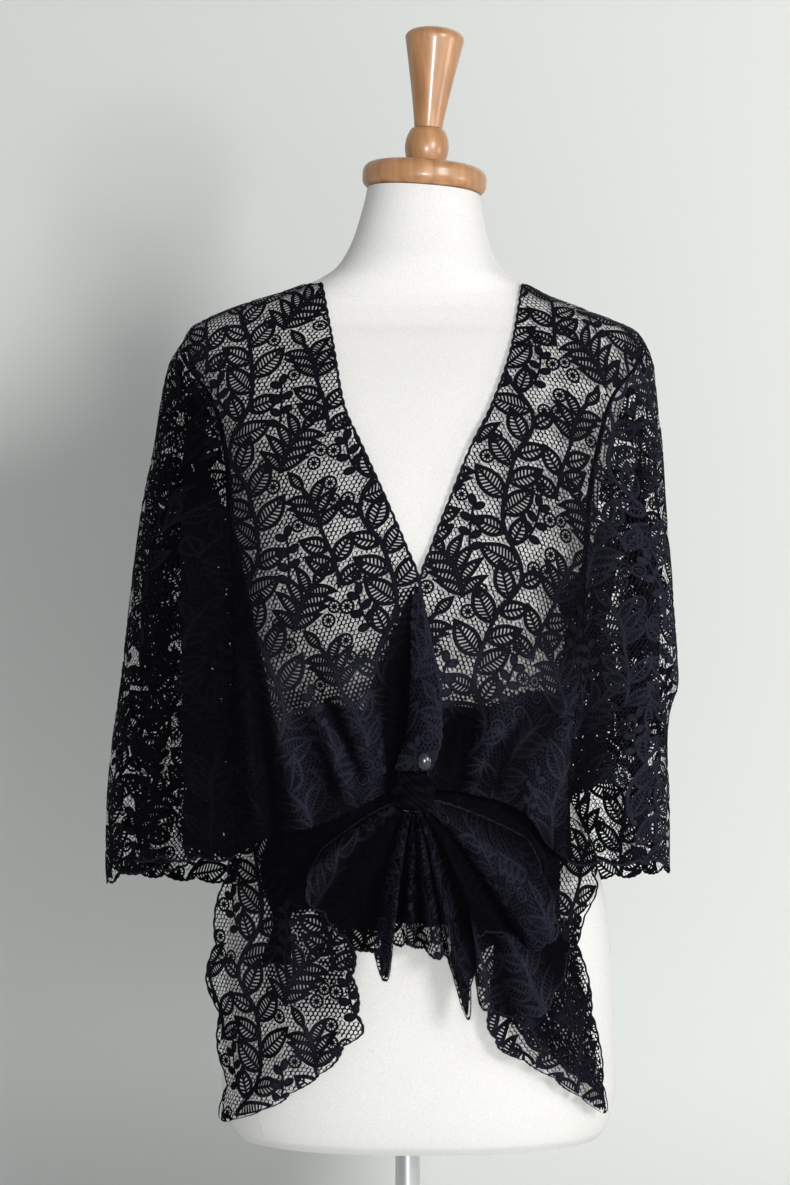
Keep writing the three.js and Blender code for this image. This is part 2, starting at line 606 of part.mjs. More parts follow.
const topping = new THREE.Group();
topping.position.set(form.shift(NECK.top), 0, NECK.top + SEAM);
topping.rotation.y = NECK.lean;
dressed.add(topping);
add(topping, "cap", capGeometry(), wood());
add(topping, "bead", beadGeometry(), wood()).position.z = CAP.height + SEAM;
add(topping, "finial", finialGeometry(), wood()).position.z = CAP.height + BEAD.height + 2 * SEAM;

add(stand, "base", baseGeometry(), steel());
const poleLength = STAND_HEIGHT - BASE.height - 2 * SEAM;
const pole = new THREE.CylinderGeometry(POLE_RADIUS, POLE_RADIUS, poleLength, 24).rotateX(Math.PI / 2);
add(stand, "pole", pole, steel()).position.z = BASE.height + SEAM + poleLength / 2;

export default stand;
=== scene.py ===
# %% [markdown]
# # A black lace shawl on a limbless dress form
# The shawl is worn as a wrap: it lies over the shoulders, falls as two wide sleeves, crosses at the waist
# and is knotted there, so that its corners hang as tails and flaps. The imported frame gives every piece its
# place. This lesson gives each piece its finish, and it works in metres in that same frame.

# %% Frame
import math

import bpy
import numpy as np
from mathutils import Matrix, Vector
from mathutils.kdtree import KDTree


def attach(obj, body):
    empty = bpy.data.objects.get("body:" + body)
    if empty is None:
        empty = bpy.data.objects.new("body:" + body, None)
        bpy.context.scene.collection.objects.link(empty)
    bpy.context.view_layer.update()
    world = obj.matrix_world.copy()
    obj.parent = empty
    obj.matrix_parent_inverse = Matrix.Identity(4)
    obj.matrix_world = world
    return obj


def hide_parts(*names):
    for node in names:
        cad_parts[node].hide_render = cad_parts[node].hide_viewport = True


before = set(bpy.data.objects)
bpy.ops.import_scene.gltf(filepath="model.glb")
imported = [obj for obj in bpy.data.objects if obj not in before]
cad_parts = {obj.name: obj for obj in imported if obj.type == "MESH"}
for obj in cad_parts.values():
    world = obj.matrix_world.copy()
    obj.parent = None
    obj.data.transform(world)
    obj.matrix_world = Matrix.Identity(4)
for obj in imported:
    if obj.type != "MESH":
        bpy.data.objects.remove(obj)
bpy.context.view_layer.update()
print("nodes in the frame:", len(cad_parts))

# %% [markdown]
# ## Camera
# The picture is taken level, from about two metres away, at half the height of the form. A long lens keeps
# the sides of the form nearly parallel. The lens could be found by trial; here it follows from the
# distance, from the pixels along the picture's long side and from what one pixel covers at the form.

# %% Camera
CAMERA_PLACE = (-0.0104, -2.2, 0.682)
PICTURE_PIXELS = 1185
PIXEL_SIZE = 0.00082
SENSOR = 36.0

camera_data = bpy.data.cameras.new("camera")
camera_data.sensor_width = SENSOR
camera_data.sensor_fit = "AUTO"
camera_data.lens = SENSOR * -CAMERA_PLACE[1] / (PICTURE_PIXELS * PIXEL_SIZE)
camera = bpy.data.objects.new("camera", camera_data)
camera.location = CAMERA_PLACE
camera.rotation_euler = (math.radians(90), 0, 0)
bpy.context.scene.collection.objects.link(camera)
bpy.context.scene.camera = camera
bpy.context.scene.view_settings.view_transform = "Standard"
print("lens in millimetres:", round(camera_data.lens, 1))

# %% [markdown]
# ## Small helpers
# An operator acts on everything that is selected, so each piece starts by clearing the selection, and edges
# are then picked in code by where their ends lie. A finished piece rides on the frame's one body, and the
# nodes it stands for are hidden. Lace has far too many faces to draw one by one, so one helper makes a mesh
# from arrays.

# %% Helpers
MM = 0.001


def clear_selection():
    if bpy.context.object and bpy.context.object.mode != "OBJECT":
        bpy.ops.object.mode_set(mode="OBJECT")
    bpy.ops.object.select_all(action="DESELECT")


def finish_piece(piece, name, finish, nodes):
    piece.name = name
    piece.data.name = name
    piece.data.materials.clear()
    piece.data.materials.append(finish)
    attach(piece, "root")
    if nodes:
        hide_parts(*nodes)
    print(name, "has", len(piece.data.polygons), "faces")


def settle(piece):
    """Puts a piece's place, turn and size into its mesh."""
    clear_selection()
    piece.select_set(True)
    bpy.context.view_layer.objects.active = piece
    bpy.ops.object.transform_apply(location=True, rotation=True, scale=True)


def select_edges(piece, wanted):
    """Selects the edges whose two ends are wanted, and stays in edit mode."""
    bpy.ops.object.mode_set(mode="EDIT")
    bpy.ops.mesh.select_mode(type="EDGE")
    bpy.ops.mesh.select_all(action="DESELECT")
    bpy.ops.object.mode_set(mode="OBJECT")
    for edge in piece.data.edges:
        edge.select = all(wanted(piece.data.vertices[end].co) for end in edge.vertices)
    bpy.ops.object.mode_set(mode="EDIT")


def add_painted_light(mesh, painted_light):
    """Painted light at each point that the yarn reads: 0 is painted shade, as in the depth of a fold, 1 a
    painted highlight, as on a raised thread.
    """
    values = mesh.attributes.new("painted_light", "FLOAT", "POINT")
    values.data.foreach_set("value", painted_light.astype(np.float32))


def mesh_from_arrays(name, points, faces, painted_light=None, flat=None):
    """A mesh from points and four-cornered faces; a face that repeats its last corner is a triangle."""
    corners = np.where(faces[:, 2] == faces[:, 3], 3, 4)
    loops = faces[np.arange(4) < corners[:, None]]
    mesh = bpy.data.meshes.new(name)
    mesh.vertices.add(len(points))
    mesh.vertices.foreach_set("co", np.ascontiguousarray(points, np.float32).ravel())
    mesh.loops.add(len(loops))
    mesh.loops.foreach_set("vertex_index", loops.astype(np.int32))
    mesh.polygons.add(len(faces))
    first_corner = np.concatenate([[0], np.cumsum(corners)[:-1]])
    mesh.polygons.foreach_set("loop_start", first_corner.astype(np.int32))
    mesh.polygons.foreach_set("use_smooth", np.ones(len(faces), bool))
    mesh.update(calc_edges=True)
    if painted_light is not None:
        add_painted_light(mesh, painted_light)
    if flat is not None:
        spread = (flat - flat.min(0)) / np.ptp(flat, axis=0).max()
        layer = mesh.uv_layers.new(name="OFBake")
        layer.data.foreach_set("uv", spread[loops].astype(np.float32).ravel())
    mesh.validate()
    piece = bpy.data.objects.new(name, mesh)
    bpy.context.scene.collection.objects.link(piece)
    return piece


# %% [markdown]
# ## Backdrop
# A sheet of pale paper runs along the floor and up behind the form in one soft curve. A bent curve could be
# swept for it, but a plane whose back edge is extruded upwards and then beveled takes three operators. Seen
# from behind the paper is clear, so the back of the shawl can be looked at too.

# %% Backdrop
PAPER_SIZE = 9.0
PAPER_BEHIND = 0.42
PAPER_CURVE = 0.22
PAPER_RISE = 4.0
PAPER_COLOUR = (0.86, 0.88, 0.86, 1)
CLOSE = 0.01

clear_selection()
bpy.ops.mesh.primitive_plane_add(size=PAPER_SIZE, location=(0, PAPER_BEHIND - PAPER_SIZE / 2, 0))
backdrop = bpy.context.object
select_edges(backdrop, lambda end: end.y > 0)
bpy.ops.mesh.extrude_region_move(TRANSFORM_OT_translate={"value": (0, 0, PAPER_RISE)})
select_edges(backdrop, lambda end: end.y > PAPER_SIZE / 2 - CLOSE and end.z < CLOSE)
bpy.ops.mesh.bevel(offset=PAPER_CURVE, segments=12)
bpy.ops.object.mode_set(mode="OBJECT")
bpy.ops.object.shade_smooth()
settle(backdrop)
backdrop.name = "backdrop"
backdrop.visible_shadow = False

paper = bpy.data.materials.new("backdrop_paper")
paper.use_nodes = True
nodes, links = paper.node_tree.nodes, paper.node_tree.links
paper_shader = nodes["Principled BSDF"]
paper_shader.inputs["Base Color"].default_value = PAPER_COLOUR
paper_shader.inputs["Roughness"].default_value = 0.9
clear = nodes.new("ShaderNodeBsdfTransparent")
behind = nodes.new("ShaderNodeNewGeometry")
either = nodes.new("ShaderNodeMixShader")
links.new(behind.outputs["Backfacing"], either.inputs["Fac"])
links.new(paper_shader.outputs["BSDF"], either.inputs[1])
links.new(clear.outputs["BSDF"], either.inputs[2])
links.new(either.outputs["Shader"], nodes["Material Output"].inputs["Surface"])
backdrop.data.materials.append(paper)
print("backdrop faces:", len(backdrop.data.polygons))

# %% [markdown]
# ## Light
# Black lace over a pale form needs light that reaches through its holes. The main light is a large soft one
# at the right, in front. A small one just behind the camera looks straight through the holes at the form,
# and a weak one at the right catches the folds. Both are kept off the paper by light linking, so that the
# paper keeps the soft shadow of the main light. One more behind shapes the back.

# %% Light
AIM = Vector((0, 0, 0.72))
FILL_PLACE = (CAMERA_PLACE[0], -2.5, 0.71)
WHITE = (1.0, 1.0, 1.0)
ROOM_COLOUR = (0.92, 0.95, 0.96, 1)
ROOM_STRENGTH = 0.30


def soft_light(name, place, size, power, colour=WHITE):
    data = bpy.data.lights.new(name, "AREA")
    data.shape = "DISK"
    data.size = size
    data.energy = power
    data.color = colour
    lamp = bpy.data.objects.new(name, data)
    lamp.location = place
    lamp.rotation_euler = (AIM - Vector(place)).to_track_quat("-Z", "Y").to_euler()
    bpy.context.scene.collection.objects.link(lamp)
    return lamp


soft_light("main_light", place=(1.5, -2.3, 1.3), size=0.9, power=52, colour=(1.0, 0.99, 0.97))
fill_light = soft_light("fill_light", place=FILL_PLACE, size=0.2, power=43, colour=(0.98, 0.99, 1.0))
side_light = soft_light("side_light", place=(2.1, -0.75, 0.7), size=0.6, power=12)
main_only = bpy.data.collections.new("lit_by_the_main_light_only")
main_only.objects.link(backdrop)
main_only.collection_objects[0].light_linking.link_state = "EXCLUDE"
for lamp in (fill_light, side_light):
    lamp.light_linking.receiver_collection = main_only
soft_light("back_light", place=(0.6, 2.6, 2.2), size=1.8, power=45)
world = bpy.data.worlds.new("soft_room")
bpy.context.scene.world = world
world.use_nodes = True
room = world.node_tree.nodes["Background"]
room.inputs["Color"].default_value = ROOM_COLOUR
room.inputs["Strength"].default_value = ROOM_STRENGTH

# %% [markdown]
# ## Finishes
# Every surface has its own grain: yarn for the lace, a fine jersey for the form's cover, long grain for the
# turned wood and brushing for the steel. They share one effect, a soft mottle, so that is a node group with
# its own scale in each finish. The shader itself stays in the finish, and what is even all over is set on
# its socket.

# %% Shared mottle
mottle_group = bpy.data.node_groups.new("soft_mottle", "ShaderNodeTree")
mottle_group.interface.new_socket("Scale", in_out="INPUT", socket_type="NodeSocketFloat")
mottle_group.interface.new_socket("Stretch", in_out="INPUT", socket_type="NodeSocketVector")
mottle_group.interface.new_socket("Mask", in_out="OUTPUT", socket_type="NodeSocketFloat")
nodes, links = mottle_group.nodes, mottle_group.links
entry = nodes.new("NodeGroupInput")
leave = nodes.new("NodeGroupOutput")
where = nodes.new("ShaderNodeTexCoord")
stretch = nodes.new("ShaderNodeVectorMath")
stretch.operation = "MULTIPLY"
cloud = nodes.new("ShaderNodeTexNoise")
cloud.inputs["Detail"].default_value = 3
links.new(where.outputs["Object"], stretch.inputs[0])
links.new(entry.outputs["Stretch"], stretch.inputs[1])
links.new(stretch.outputs["Vector"], cloud.inputs["Vector"])
links.new(entry.outputs["Scale"], cloud.inputs["Scale"])
links.new(cloud.outputs["Fac"], leave.inputs["Mask"])
print("shared effects:", mottle_group.name)

# %% [markdown]
# ## Helpers for finishes
# A finish starts as a principled shader. What is even all over goes straight to the shader's sockets. What
# varies is a mottle, which a ramp turns into colours and a bump node into small relief. They could be wired
# anew each time, but four short functions keep the finishes easy to read.

# %% Helpers for finishes
RAMP_ENDS = (0.3, 0.7)


def new_finish(name, values):
    """A finish whose even values, such as its roughness, are set on the shader's own sockets."""
    finish = bpy.data.materials.new(name)
    finish.use_nodes = True
    shader = finish.node_tree.nodes["Principled BSDF"]
    for socket, value in values.items():
        shader.inputs[socket].default_value = value
    return finish, finish.node_tree.nodes, finish.node_tree.links, shader


def add_mottle(nodes, scale, stretch=(1, 1, 1)):
    place = nodes.new("ShaderNodeGroup")
    place.node_tree = mottle_group
    place.inputs["Scale"].default_value = scale
    place.inputs["Stretch"].default_value = stretch
    return place.outputs["Mask"]


def add_ramp(nodes, links, mask, low, high, socket):
    """Feeds a socket with a run from a low to a high colour, along a mask."""
    ramp = nodes.new("ShaderNodeValToRGB")
    for element, position, colour in zip(ramp.color_ramp.elements, RAMP_ENDS, (low, high)):
        element.position = position
        element.color = (*colour, 1)
    links.new(mask, ramp.inputs["Fac"])
    links.new(ramp.outputs["Color"], socket)


def add_bump(nodes, links, shader, height, strength, distance):
    bump = nodes.new("ShaderNodeBump")
    bump.inputs["Strength"].default_value = strength
    bump.inputs["Distance"].default_value = distance
    links.new(height, bump.inputs["Height"])
    links.new(bump.outputs["Normal"], shader.inputs["Normal"])


# %% [markdown]
# ## Lace yarn
# The yarn is matt, nearly black and a little blue. A photograph could be laid over it, but the threads are
# real mesh here, so the finish needs only a fine twist and a value of painted light. Each lace point carries
# that value: painted shade in the hollows of the folds, on the second layer and where the cloth lies in
# shade, and a painted highlight on raised threads and the ridges of folds; it mixes a deep black with the
# twisted yarn.

# %% Lace yarn
# The first colour is painted shade: the yarn in fold hollows, on the second layer and in shaded places.
YARN_PAINTED_SHADE = (0.0012, 0.0012, 0.0018, 1)
YARN_DARK = (0.005, 0.005, 0.008)
YARN_LIGHT = (0.0175, 0.0175, 0.028)

lace_yarn, nodes, links, shader = new_finish("lace_yarn", {
    "Roughness": 0.75, "Specular IOR Level": 0.015, "Sheen Weight": 0.006, "Sheen Tint": (0.5, 0.55, 0.9, 1),
})
twist = add_mottle(nodes, 700)
# The attribute read here is painted light: lighter on raised threads and fold ridges, painted shade in
# hollows and under-layers.
painted_light_value = nodes.new("ShaderNodeAttribute")
painted_light_value.attribute_name = "painted_light"
shade = nodes.new("ShaderNodeMix")
shade.data_type = "RGBA"
shade.inputs["A"].default_value = YARN_PAINTED_SHADE
links.new(painted_light_value.outputs["Fac"], shade.inputs["Factor"])
add_ramp(nodes, links, twist, YARN_DARK, YARN_LIGHT, shade.inputs["B"])
links.new(shade.outputs["Result"], shader.inputs["Base Color"])
add_bump(nodes, links, shader, twist, strength=0.35, distance=0.0006)
print("finish:", lace_yarn.name)

# %% [markdown]
# ## Cover, wood, steel and horn
# The form wears an off-white jersey, which is matt with a very fine knit. The turned wood is waxed, so a
# thin clear coat lies over a grain that is drawn out along the axis. The stand is steel, brushed
# lengthwise, so that only its roughness varies. The button is dark horn. Each finish is the shared mottle
# at another scale and stretch, which costs less than a texture of its own.

# %% Cover, wood, steel and horn
JERSEY = ((0.49, 0.48, 0.466), (0.565, 0.556, 0.546))
WOOD = ((0.235, 0.108, 0.042), (0.39, 0.20, 0.092))
STEEL = (0.60, 0.61, 0.62, 1)
STEEL_ROUGHNESS = ((0.26, 0.26, 0.26), (0.31, 0.31, 0.31))
HORN = ((0.006, 0.006, 0.010), (0.022, 0.022, 0.034))

form_cover, nodes, links, shader = new_finish("form_jersey", {
    "Roughness": 0.85, "Sheen Weight": 0.08, "Specular IOR Level": 0.2,
})
knit = add_mottle(nodes, 900)
add_ramp(nodes, links, knit, *JERSEY, shader.inputs["Base Color"])
add_bump(nodes, links, shader, knit, strength=0.25, distance=0.0004)

turned_wood, nodes, links, shader = new_finish("turned_wood", {
    "Roughness": 0.38, "Coat Weight": 0.22, "Coat Roughness": 0.16,
})
grain = add_mottle(nodes, 130, (1, 1, 0.09))
add_ramp(nodes, links, grain, *WOOD, shader.inputs["Base Color"])
add_bump(nodes, links, shader, grain, strength=0.08, distance=0.0004)

brushed_steel, nodes, links, shader = new_finish("brushed_steel", {"Metallic": 1, "Base Color": STEEL})
brushing = add_mottle(nodes, 260, (1, 1, 0.03))
add_ramp(nodes, links, brushing, *STEEL_ROUGHNESS, shader.inputs["Roughness"])

dark_horn, nodes, links, shader = new_finish("dark_horn", {"Roughness": 0.22})
add_ramp(nodes, links, add_mottle(nodes, 420), *HORN, shader.inputs["Base Color"])
print("finishes:", form_cover.name, turned_wood.name, brushed_steel.name, dark_horn.name)

# %% [markdown]
# ## The worn shape
# Cloth can be draped by a simulation, but a drape that should look like one worn shawl is easier to steer
# with given numbers. So the cloth follows the same sections, edges and folds as its solids: short tables.
# Everything is in millimetres; heights (h) start at the bottom edge of the form, and one helper moves the
# result into the frame.

# %% Tables
STAND_HEIGHT = 240.0  # from the ground to the bottom edge of the form
FORM_OFFSET = 6.0  # from the pole to the middle of the tables
CLOTH = 1.2  # thickness of a wall of cloth
PIECE_GAP = 0.3  # air between pieces that rest on each other
SHOULDER_REST = 2.4  # from the form to the middle of the cloth on the shoulders
SHOULDER_TIP = 648.0  # above this height the cloth rests on the form
NECK_POINT = 692.0  # where the shoulder ridge meets the neck
FALL_TOP = 650.0  # where the cloth starts to fall from the shoulder
CENTRE = 2.5  # the middle of the cloth, from the middle of the tables
FORM_SQUARENESS = 2.3  # 2 is an ellipse, more is squarer


def table(names, *rows):
    return dict(zip(names.split(), np.array(rows, float).T))


FORM_SECTIONS = table(
    "h half front back shift",
    (0, 147, 95, 105, 3), (8, 154, 101, 112, 3), (42, 161, 105, 118, 3), (108, 159, 104, 116, 3),
    (150, 157, 101, 108, 3), (190, 153, 98, 99, 3), (240, 139, 91, 86, 2), (300, 118, 85, 75, 2),
    (350, 122, 93, 79, 1), (400, 137, 110, 87, 1), (437, 146, 120, 93, 0), (470, 148, 120, 96, 0),
    (518, 150, 111, 99, 0), (560, 159, 98, 98, 0), (600, 171, 83, 94, 0), (628, 180, 70, 87, 0),
    (648, 185, 60, 80, -1), (657, 179, 55, 76, -3), (665, 163, 52, 73, -6), (675, 138, 49, 69, -7),
    (685, 109, 48, 65, -4), (692, 92, 49, 64, 0), (699, 79, 51, 62, 2), (709, 66, 52, 59, 3),
    (729, 56, 49, 53, 5), (750, 50, 47, 48, 6), (765, 47, 46, 46, 7), (770, 46, 45, 45, 7),
)
CLOTH_SECTIONS = table(
    "h left right front back square arm",
    (120, 236, 204, 112, 124, 1.9, 54), (170, 244, 207, 114, 121, 1.85, 54),
    (219, 253, 208, 119, 115, 1.85, 54), (268, 252, 208, 124, 110, 1.85, 54),
    (317, 248, 206, 127, 108, 1.85, 53), (345, 244, 208, 127, 108, 1.85, 52),
    (366, 241, 215, 128, 107, 1.85, 52), (437, 233, 211, 129, 107, 1.85, 50),
    (514, 223, 205, 118, 107, 1.85, 47), (563, 213, 202, 105, 104, 1.9, 43),
    (596, 208, 198, 91, 100, 2.0, 38), (628, 201, 195, 76, 93, 2.1, 22), (648, 189, 187, 63, 83, 2.3, 0),
)
NECKLINE = table(
    "h left right",
    (276, 21, 11), (292, 19, 8.2), (304, 14, 6), (318, 0.2, 0.2), (448, 0.2, 0.2), (479, 11, 10),
    (510, 24, 22), (557, 45, 41), (589, 59, 57), (638, 68, 74), (692, 78, 84),
)
FRONT_LEFT_EDGE = table("at h", (0, 290), (0.22, 276), (0.45, 262), (0.75, 252), (1, 236))
FRONT_RIGHT_EDGE = table("at h", (0, 290), (0.4, 283), (0.68, 270), (0.85, 244), (1, 232))
SLEEVE_LEFT_HEM = table(
    "at h", (0, 236), (0.2, 230), (0.38, 211), (0.5, 208), (0.58, 216), (0.8, 205), (1, 196)
)
SLEEVE_RIGHT_HEM = table("at h", (0, 232), (0.3, 229), (0.5, 217), (0.6, 215), (0.8, 206), (1, 200))
BACK_HEM = table("at h", (0, 196), (0.25, 160), (0.5, 142), (0.75, 162), (1, 200))
PLEAT_LEFT = {"start": 0.02, "end": 0.3, "fold": 44, "full_below": 440, "gone_above": 600}
PLEAT_RIGHT = {"start": 0.03, "end": 0.34, "fold": 30, "full_below": 440, "gone_above": 600}
FOLD_COLUMNS = "x0 h0 x1 h1 width depth"
FOLDS = table(
    FOLD_COLUMNS,
    (-6, 425, -24, 305, 15, -16), (-60, 400, -34, 300, 16, 7), (-118, 420, -98, 265, 20, 8),
    (104, 400, 40, 296, 14, 8), (40, 352, 34, 300, 18, -18), (118, 350, 98, 268, 16, 9),
    (-98, 404, -58, 296, 7, 5), (-82, 388, -46, 302, 6, -5), (-126, 380, -112, 258, 8, -6),
    (-72, 352, -52, 284, 5, 4), (-106, 338, -84, 262, 6, 5), (-142, 408, -124, 262, 8, 6),
    (-44, 372, -30, 300, 6, 5), (-150, 590, -96, 420, 13, 3), (118, 384, 62, 304, 7, 6),
    (104, 368, 54, 298, 6, -6), (128, 352, 88, 280, 6, 5), (134, 408, 112, 286, 9, 6),
    (86, 344, 62, 288, 5, -5), (62, 350, 48, 300, 6, 4), (140, 338, 122, 256, 7, -5),
    (150, 600, 112, 430, 12, 3),
)
BACK_FOLDS = table(
    FOLD_COLUMNS,
    (-118, 560, -128, 190, 26, 9), (-74, 480, -86, 170, 24, -6), (-30, 520, -38, 150, 28, 10),
    (18, 460, 16, 145, 22, -5), (62, 540, 70, 160, 27, 10), (112, 500, 122, 185, 22, 6),
)
print("sections of the form:", len(FORM_SECTIONS["h"]))

# %% [markdown]
# ## Curves through the tables
# A table gives a few heights; the cloth needs every height between them. Straight lines would leave kinks
# and usual splines swing past the rows, so the slope at each row is chosen such that the curve never
# overshoots. A section of the cloth is a rounded rectangle, and soft folds lift it along short lines.

# %% Curves through the tables
def mix(a, b, t):
    return a + (b - a) * t


def ease(t):
    t = np.clip(t, 0, 1)
    return t * t * (3 - 2 * t)


def smooth(rows, key, column):
    """A smooth curve through one column of a table, with no overshoot between rows."""
    order = np.argsort(rows[key])
    place, value = rows[key][order], rows[column][order]
    step = np.diff(value) / np.diff(place)
    slope = np.zeros_like(value)
    slope[0], slope[-1] = step[0], step[-1]
    product = step[:-1] * step[1:]
    slope[1:-1] = np.where(product > 0, 2 * product / np.where(product > 0, step[:-1] + step[1:], 1), 0)

    def read(at):
        at = np.clip(at, place[0], place[-1])
        i = np.clip(np.searchsorted(place, at), 1, len(place) - 1)
        span = place[i] - place[i - 1]
        t = (at - place[i - 1]) / span
        leaving = t * (1 - t) ** 2 * span * slope[i - 1]
        arriving = t * t * (t - 1) * span * slope[i]
        return mix(value[i - 1], value[i], ease(t)) + leaving + arriving

    return read


def curves(rows, key, names):
    return {name: smooth(rows, key, name) for name in names.split()}


form_at = curves(FORM_SECTIONS, "h", "half front back shift")
cloth_at = curves(CLOTH_SECTIONS, "h", "left right front back square arm")
neckline_at = curves(NECKLINE, "h", "left right")
FOLD_START = 0.25  # share of its depth that a fold has where it starts
FOLD_GROWTH = 1.5


def lift(folds, x, h):
    """How far a set of soft folds lifts the cloth at a place."""
    total = np.zeros_like(x)
    for x0, h0, x1, h1, width, depth in zip(*folds.values()):
        along = ((x - x0) * (x1 - x0) + (h - h0) * (h1 - h0)) / ((x1 - x0) ** 2 + (h1 - h0) ** 2)
        along = np.clip(along, 0, 1)
        away = np.hypot(x - mix(x0, x1, along), h - mix(h0, h1, along))
        total += depth * np.minimum(1, FOLD_START + FOLD_GROWTH * along) * np.exp(-((away / width) ** 2))
    return total


def section(h, side):
    """Half width, depth in front and behind, squareness and armhole angle of the cloth at a height."""
    rests = h >= SHOULDER_TIP
    on_form = form_at["half"](h) + SHOULDER_REST + side * (form_at["shift"](h) - CENTRE)
    hanging = np.where(side < 0, cloth_at["left"](h), cloth_at["right"](h)) - side * CENTRE
    front = np.where(rests, form_at["front"](h) + SHOULDER_REST, cloth_at["front"](h))
    back = np.where(rests, form_at["back"](h) + SHOULDER_REST, cloth_at["back"](h))
    square = np.where(rests, FORM_SQUARENESS, cloth_at["square"](h))
    arm = np.where(rests, 0, np.radians(cloth_at["arm"](h)))
    return np.where(rests, on_form, hanging), front, back, square, arm


def cloth_point(h, side, angle):
    """A point of the cloth at an angle from the side: 90 degrees is the centre front, -90 the centre back."""
    half, front, back, square, _ = section(h, side)
    x = CENTRE + side * half * np.abs(np.cos(angle)) ** (2 / square)
    facing = np.abs(np.sin(angle))
    forward = angle > 0
    depth = np.where(forward, front, back) * facing ** (2 / square)
    depth = depth + facing * np.where(forward, lift(FOLDS, x, h), lift(BACK_FOLDS, x, h))
    return np.stack(np.broadcast_arrays(x, np.where(forward, -depth, depth), h), -1)


def angle_at(h, side, reach):
    half, _, _, square, _ = section(h, side)
    return np.arccos(np.minimum(1, reach / half) ** (square / 2))


def walked(points):
    """Distance walked along a line of points, or along each row of a grid."""
    steps = np.linalg.norm(np.diff(points, axis=-2), axis=-1)
    return np.concatenate([np.zeros_like(steps[..., :1]), np.cumsum(steps, axis=-1)], -1)


def spaced(line, count):
    """Points spaced evenly along a line."""
    run = walked(line)
    reach = np.linspace(0, run[-1], count)
    return np.stack([np.interp(reach, run, line[:, axis]) for axis in range(3)], 1)


print("half width of the cloth at the bust:", round(float(section(np.array(440.0), -1)[0]), 1))

# %% [markdown]
# ## Stretches of cloth
# The shawl is one cloth, but its parts hang in different ways, so each is a grid of points of its own: rows
# run down the cloth and columns across it. The fronts go from the armhole line to the neckline, the sleeves
# round the arm with one deep pleat, and the back from armhole to armhole. These grids carry the lace; they
# aren't shown themselves.

# %% Shoulders, fronts, sleeves and back
STEPS = 240  # points along a row before it is spaced evenly
SHOULDER_ROWS = 14
FALL_SPACING = 1.25  # above 1, rows lie closer near the shoulder
SLEEVE_SPACING = 1.3
SLEEVE_START = 0.006  # how far down its fall a sleeve starts


def front_grid(side, edge, rows=64, columns=64):
    low = smooth(edge, "at", "h")
    inner_edge = neckline_at["left" if side < 0 else "right"]
    shoulder = np.linspace(NECK_POINT, FALL_TOP, SHOULDER_ROWS)[:-1]
    fall = mix(FALL_TOP, low(1.0), np.linspace(0, 1, rows) ** FALL_SPACING)
    t = np.linspace(0, 1, STEPS)
    grid = []
    for arm_height in np.concatenate([shoulder, fall]):
        share = (NECK_POINT - arm_height) / (NECK_POINT - low(1.0))
        inner_height = mix(NECK_POINT, low(0.0), share)
        outer = section(arm_height, side)[4]
        inner = angle_at(inner_height, side, inner_edge(inner_height))
        row = cloth_point(mix(NECK_POINT, low(1 - t), share), side, mix(outer, inner, t))
        grid.append(spaced(row, columns))
    return np.array(grid)


def sleeve_grid(side, hem, pleat, rows=72, columns=150):
    low = smooth(hem, "at", "h")
    t = np.linspace(0, 1, 2 * STEPS)
    grid = []
    for share in mix(SLEEVE_START, 1, np.linspace(0, 1, rows) ** SLEEVE_SPACING):
        h = mix(FALL_TOP, low(t), share)
        arm = section(h, side)[4]
        row = cloth_point(h, side, mix(arm, -arm, t))
        opened = ease((pleat["gone_above"] - h) / (pleat["gone_above"] - pleat["full_below"]))
        turn = np.clip((t - pleat["start"]) / (pleat["end"] - pleat["start"]), 0, 1)
        row[:, 0] += side * pleat["fold"] * opened * np.sin(2 * np.pi * turn)
        grid.append(spaced(row, columns))
    return np.array(grid)


def back_grid(rows=72, columns=150):
    low = smooth(BACK_HEM, "at", "h")
    t = np.linspace(0, 1, 2 * STEPS + 1)
    side = np.where(t < 0.5, -1, 1)
    end = np.where(t < 0.5, SLEEVE_LEFT_HEM["h"][-1], SLEEVE_RIGHT_HEM["h"][-1])
    starts = [(top, 0.0) for top in np.linspace(NECK_POINT, FALL_TOP, SHOULDER_ROWS)[:-1]]
    starts += [(FALL_TOP, share) for share in np.linspace(0, 1, rows) ** FALL_SPACING]
    grid = []
    for top, share in starts:
        arm = section(mix(top, end, share), side)[4]
        angle = -mix(arm, np.pi / 2, 1 - np.abs(2 * t - 1))
        grid.append(spaced(cloth_point(mix(top, low(t), share), side, angle), columns))
    return np.array(grid)


grids = {
    "front_left": front_grid(-1, FRONT_LEFT_EDGE),
    "front_right": front_grid(1, FRONT_RIGHT_EDGE),
    "sleeve_left": sleeve_grid(-1, SLEEVE_LEFT_HEM, PLEAT_LEFT),
    "sleeve_right": sleeve_grid(1, SLEEVE_RIGHT_HEM, PLEAT_RIGHT),
    "back": back_grid(),
}
print({name: grid.shape[:2] for name, grid in grids.items()})

# %% [markdown]
# ## Lapel, tails and flaps
# The left front's edge turns over as a lapel that stands off the front. The tied ends fan out of the knot:
# each tail runs from the knot to a hem that goes in and out through the ends of its folds. The flaps are
# the corners that hang over the hips, with soft ripples below the waist. They are grids too, so the same
# lace can go on them.

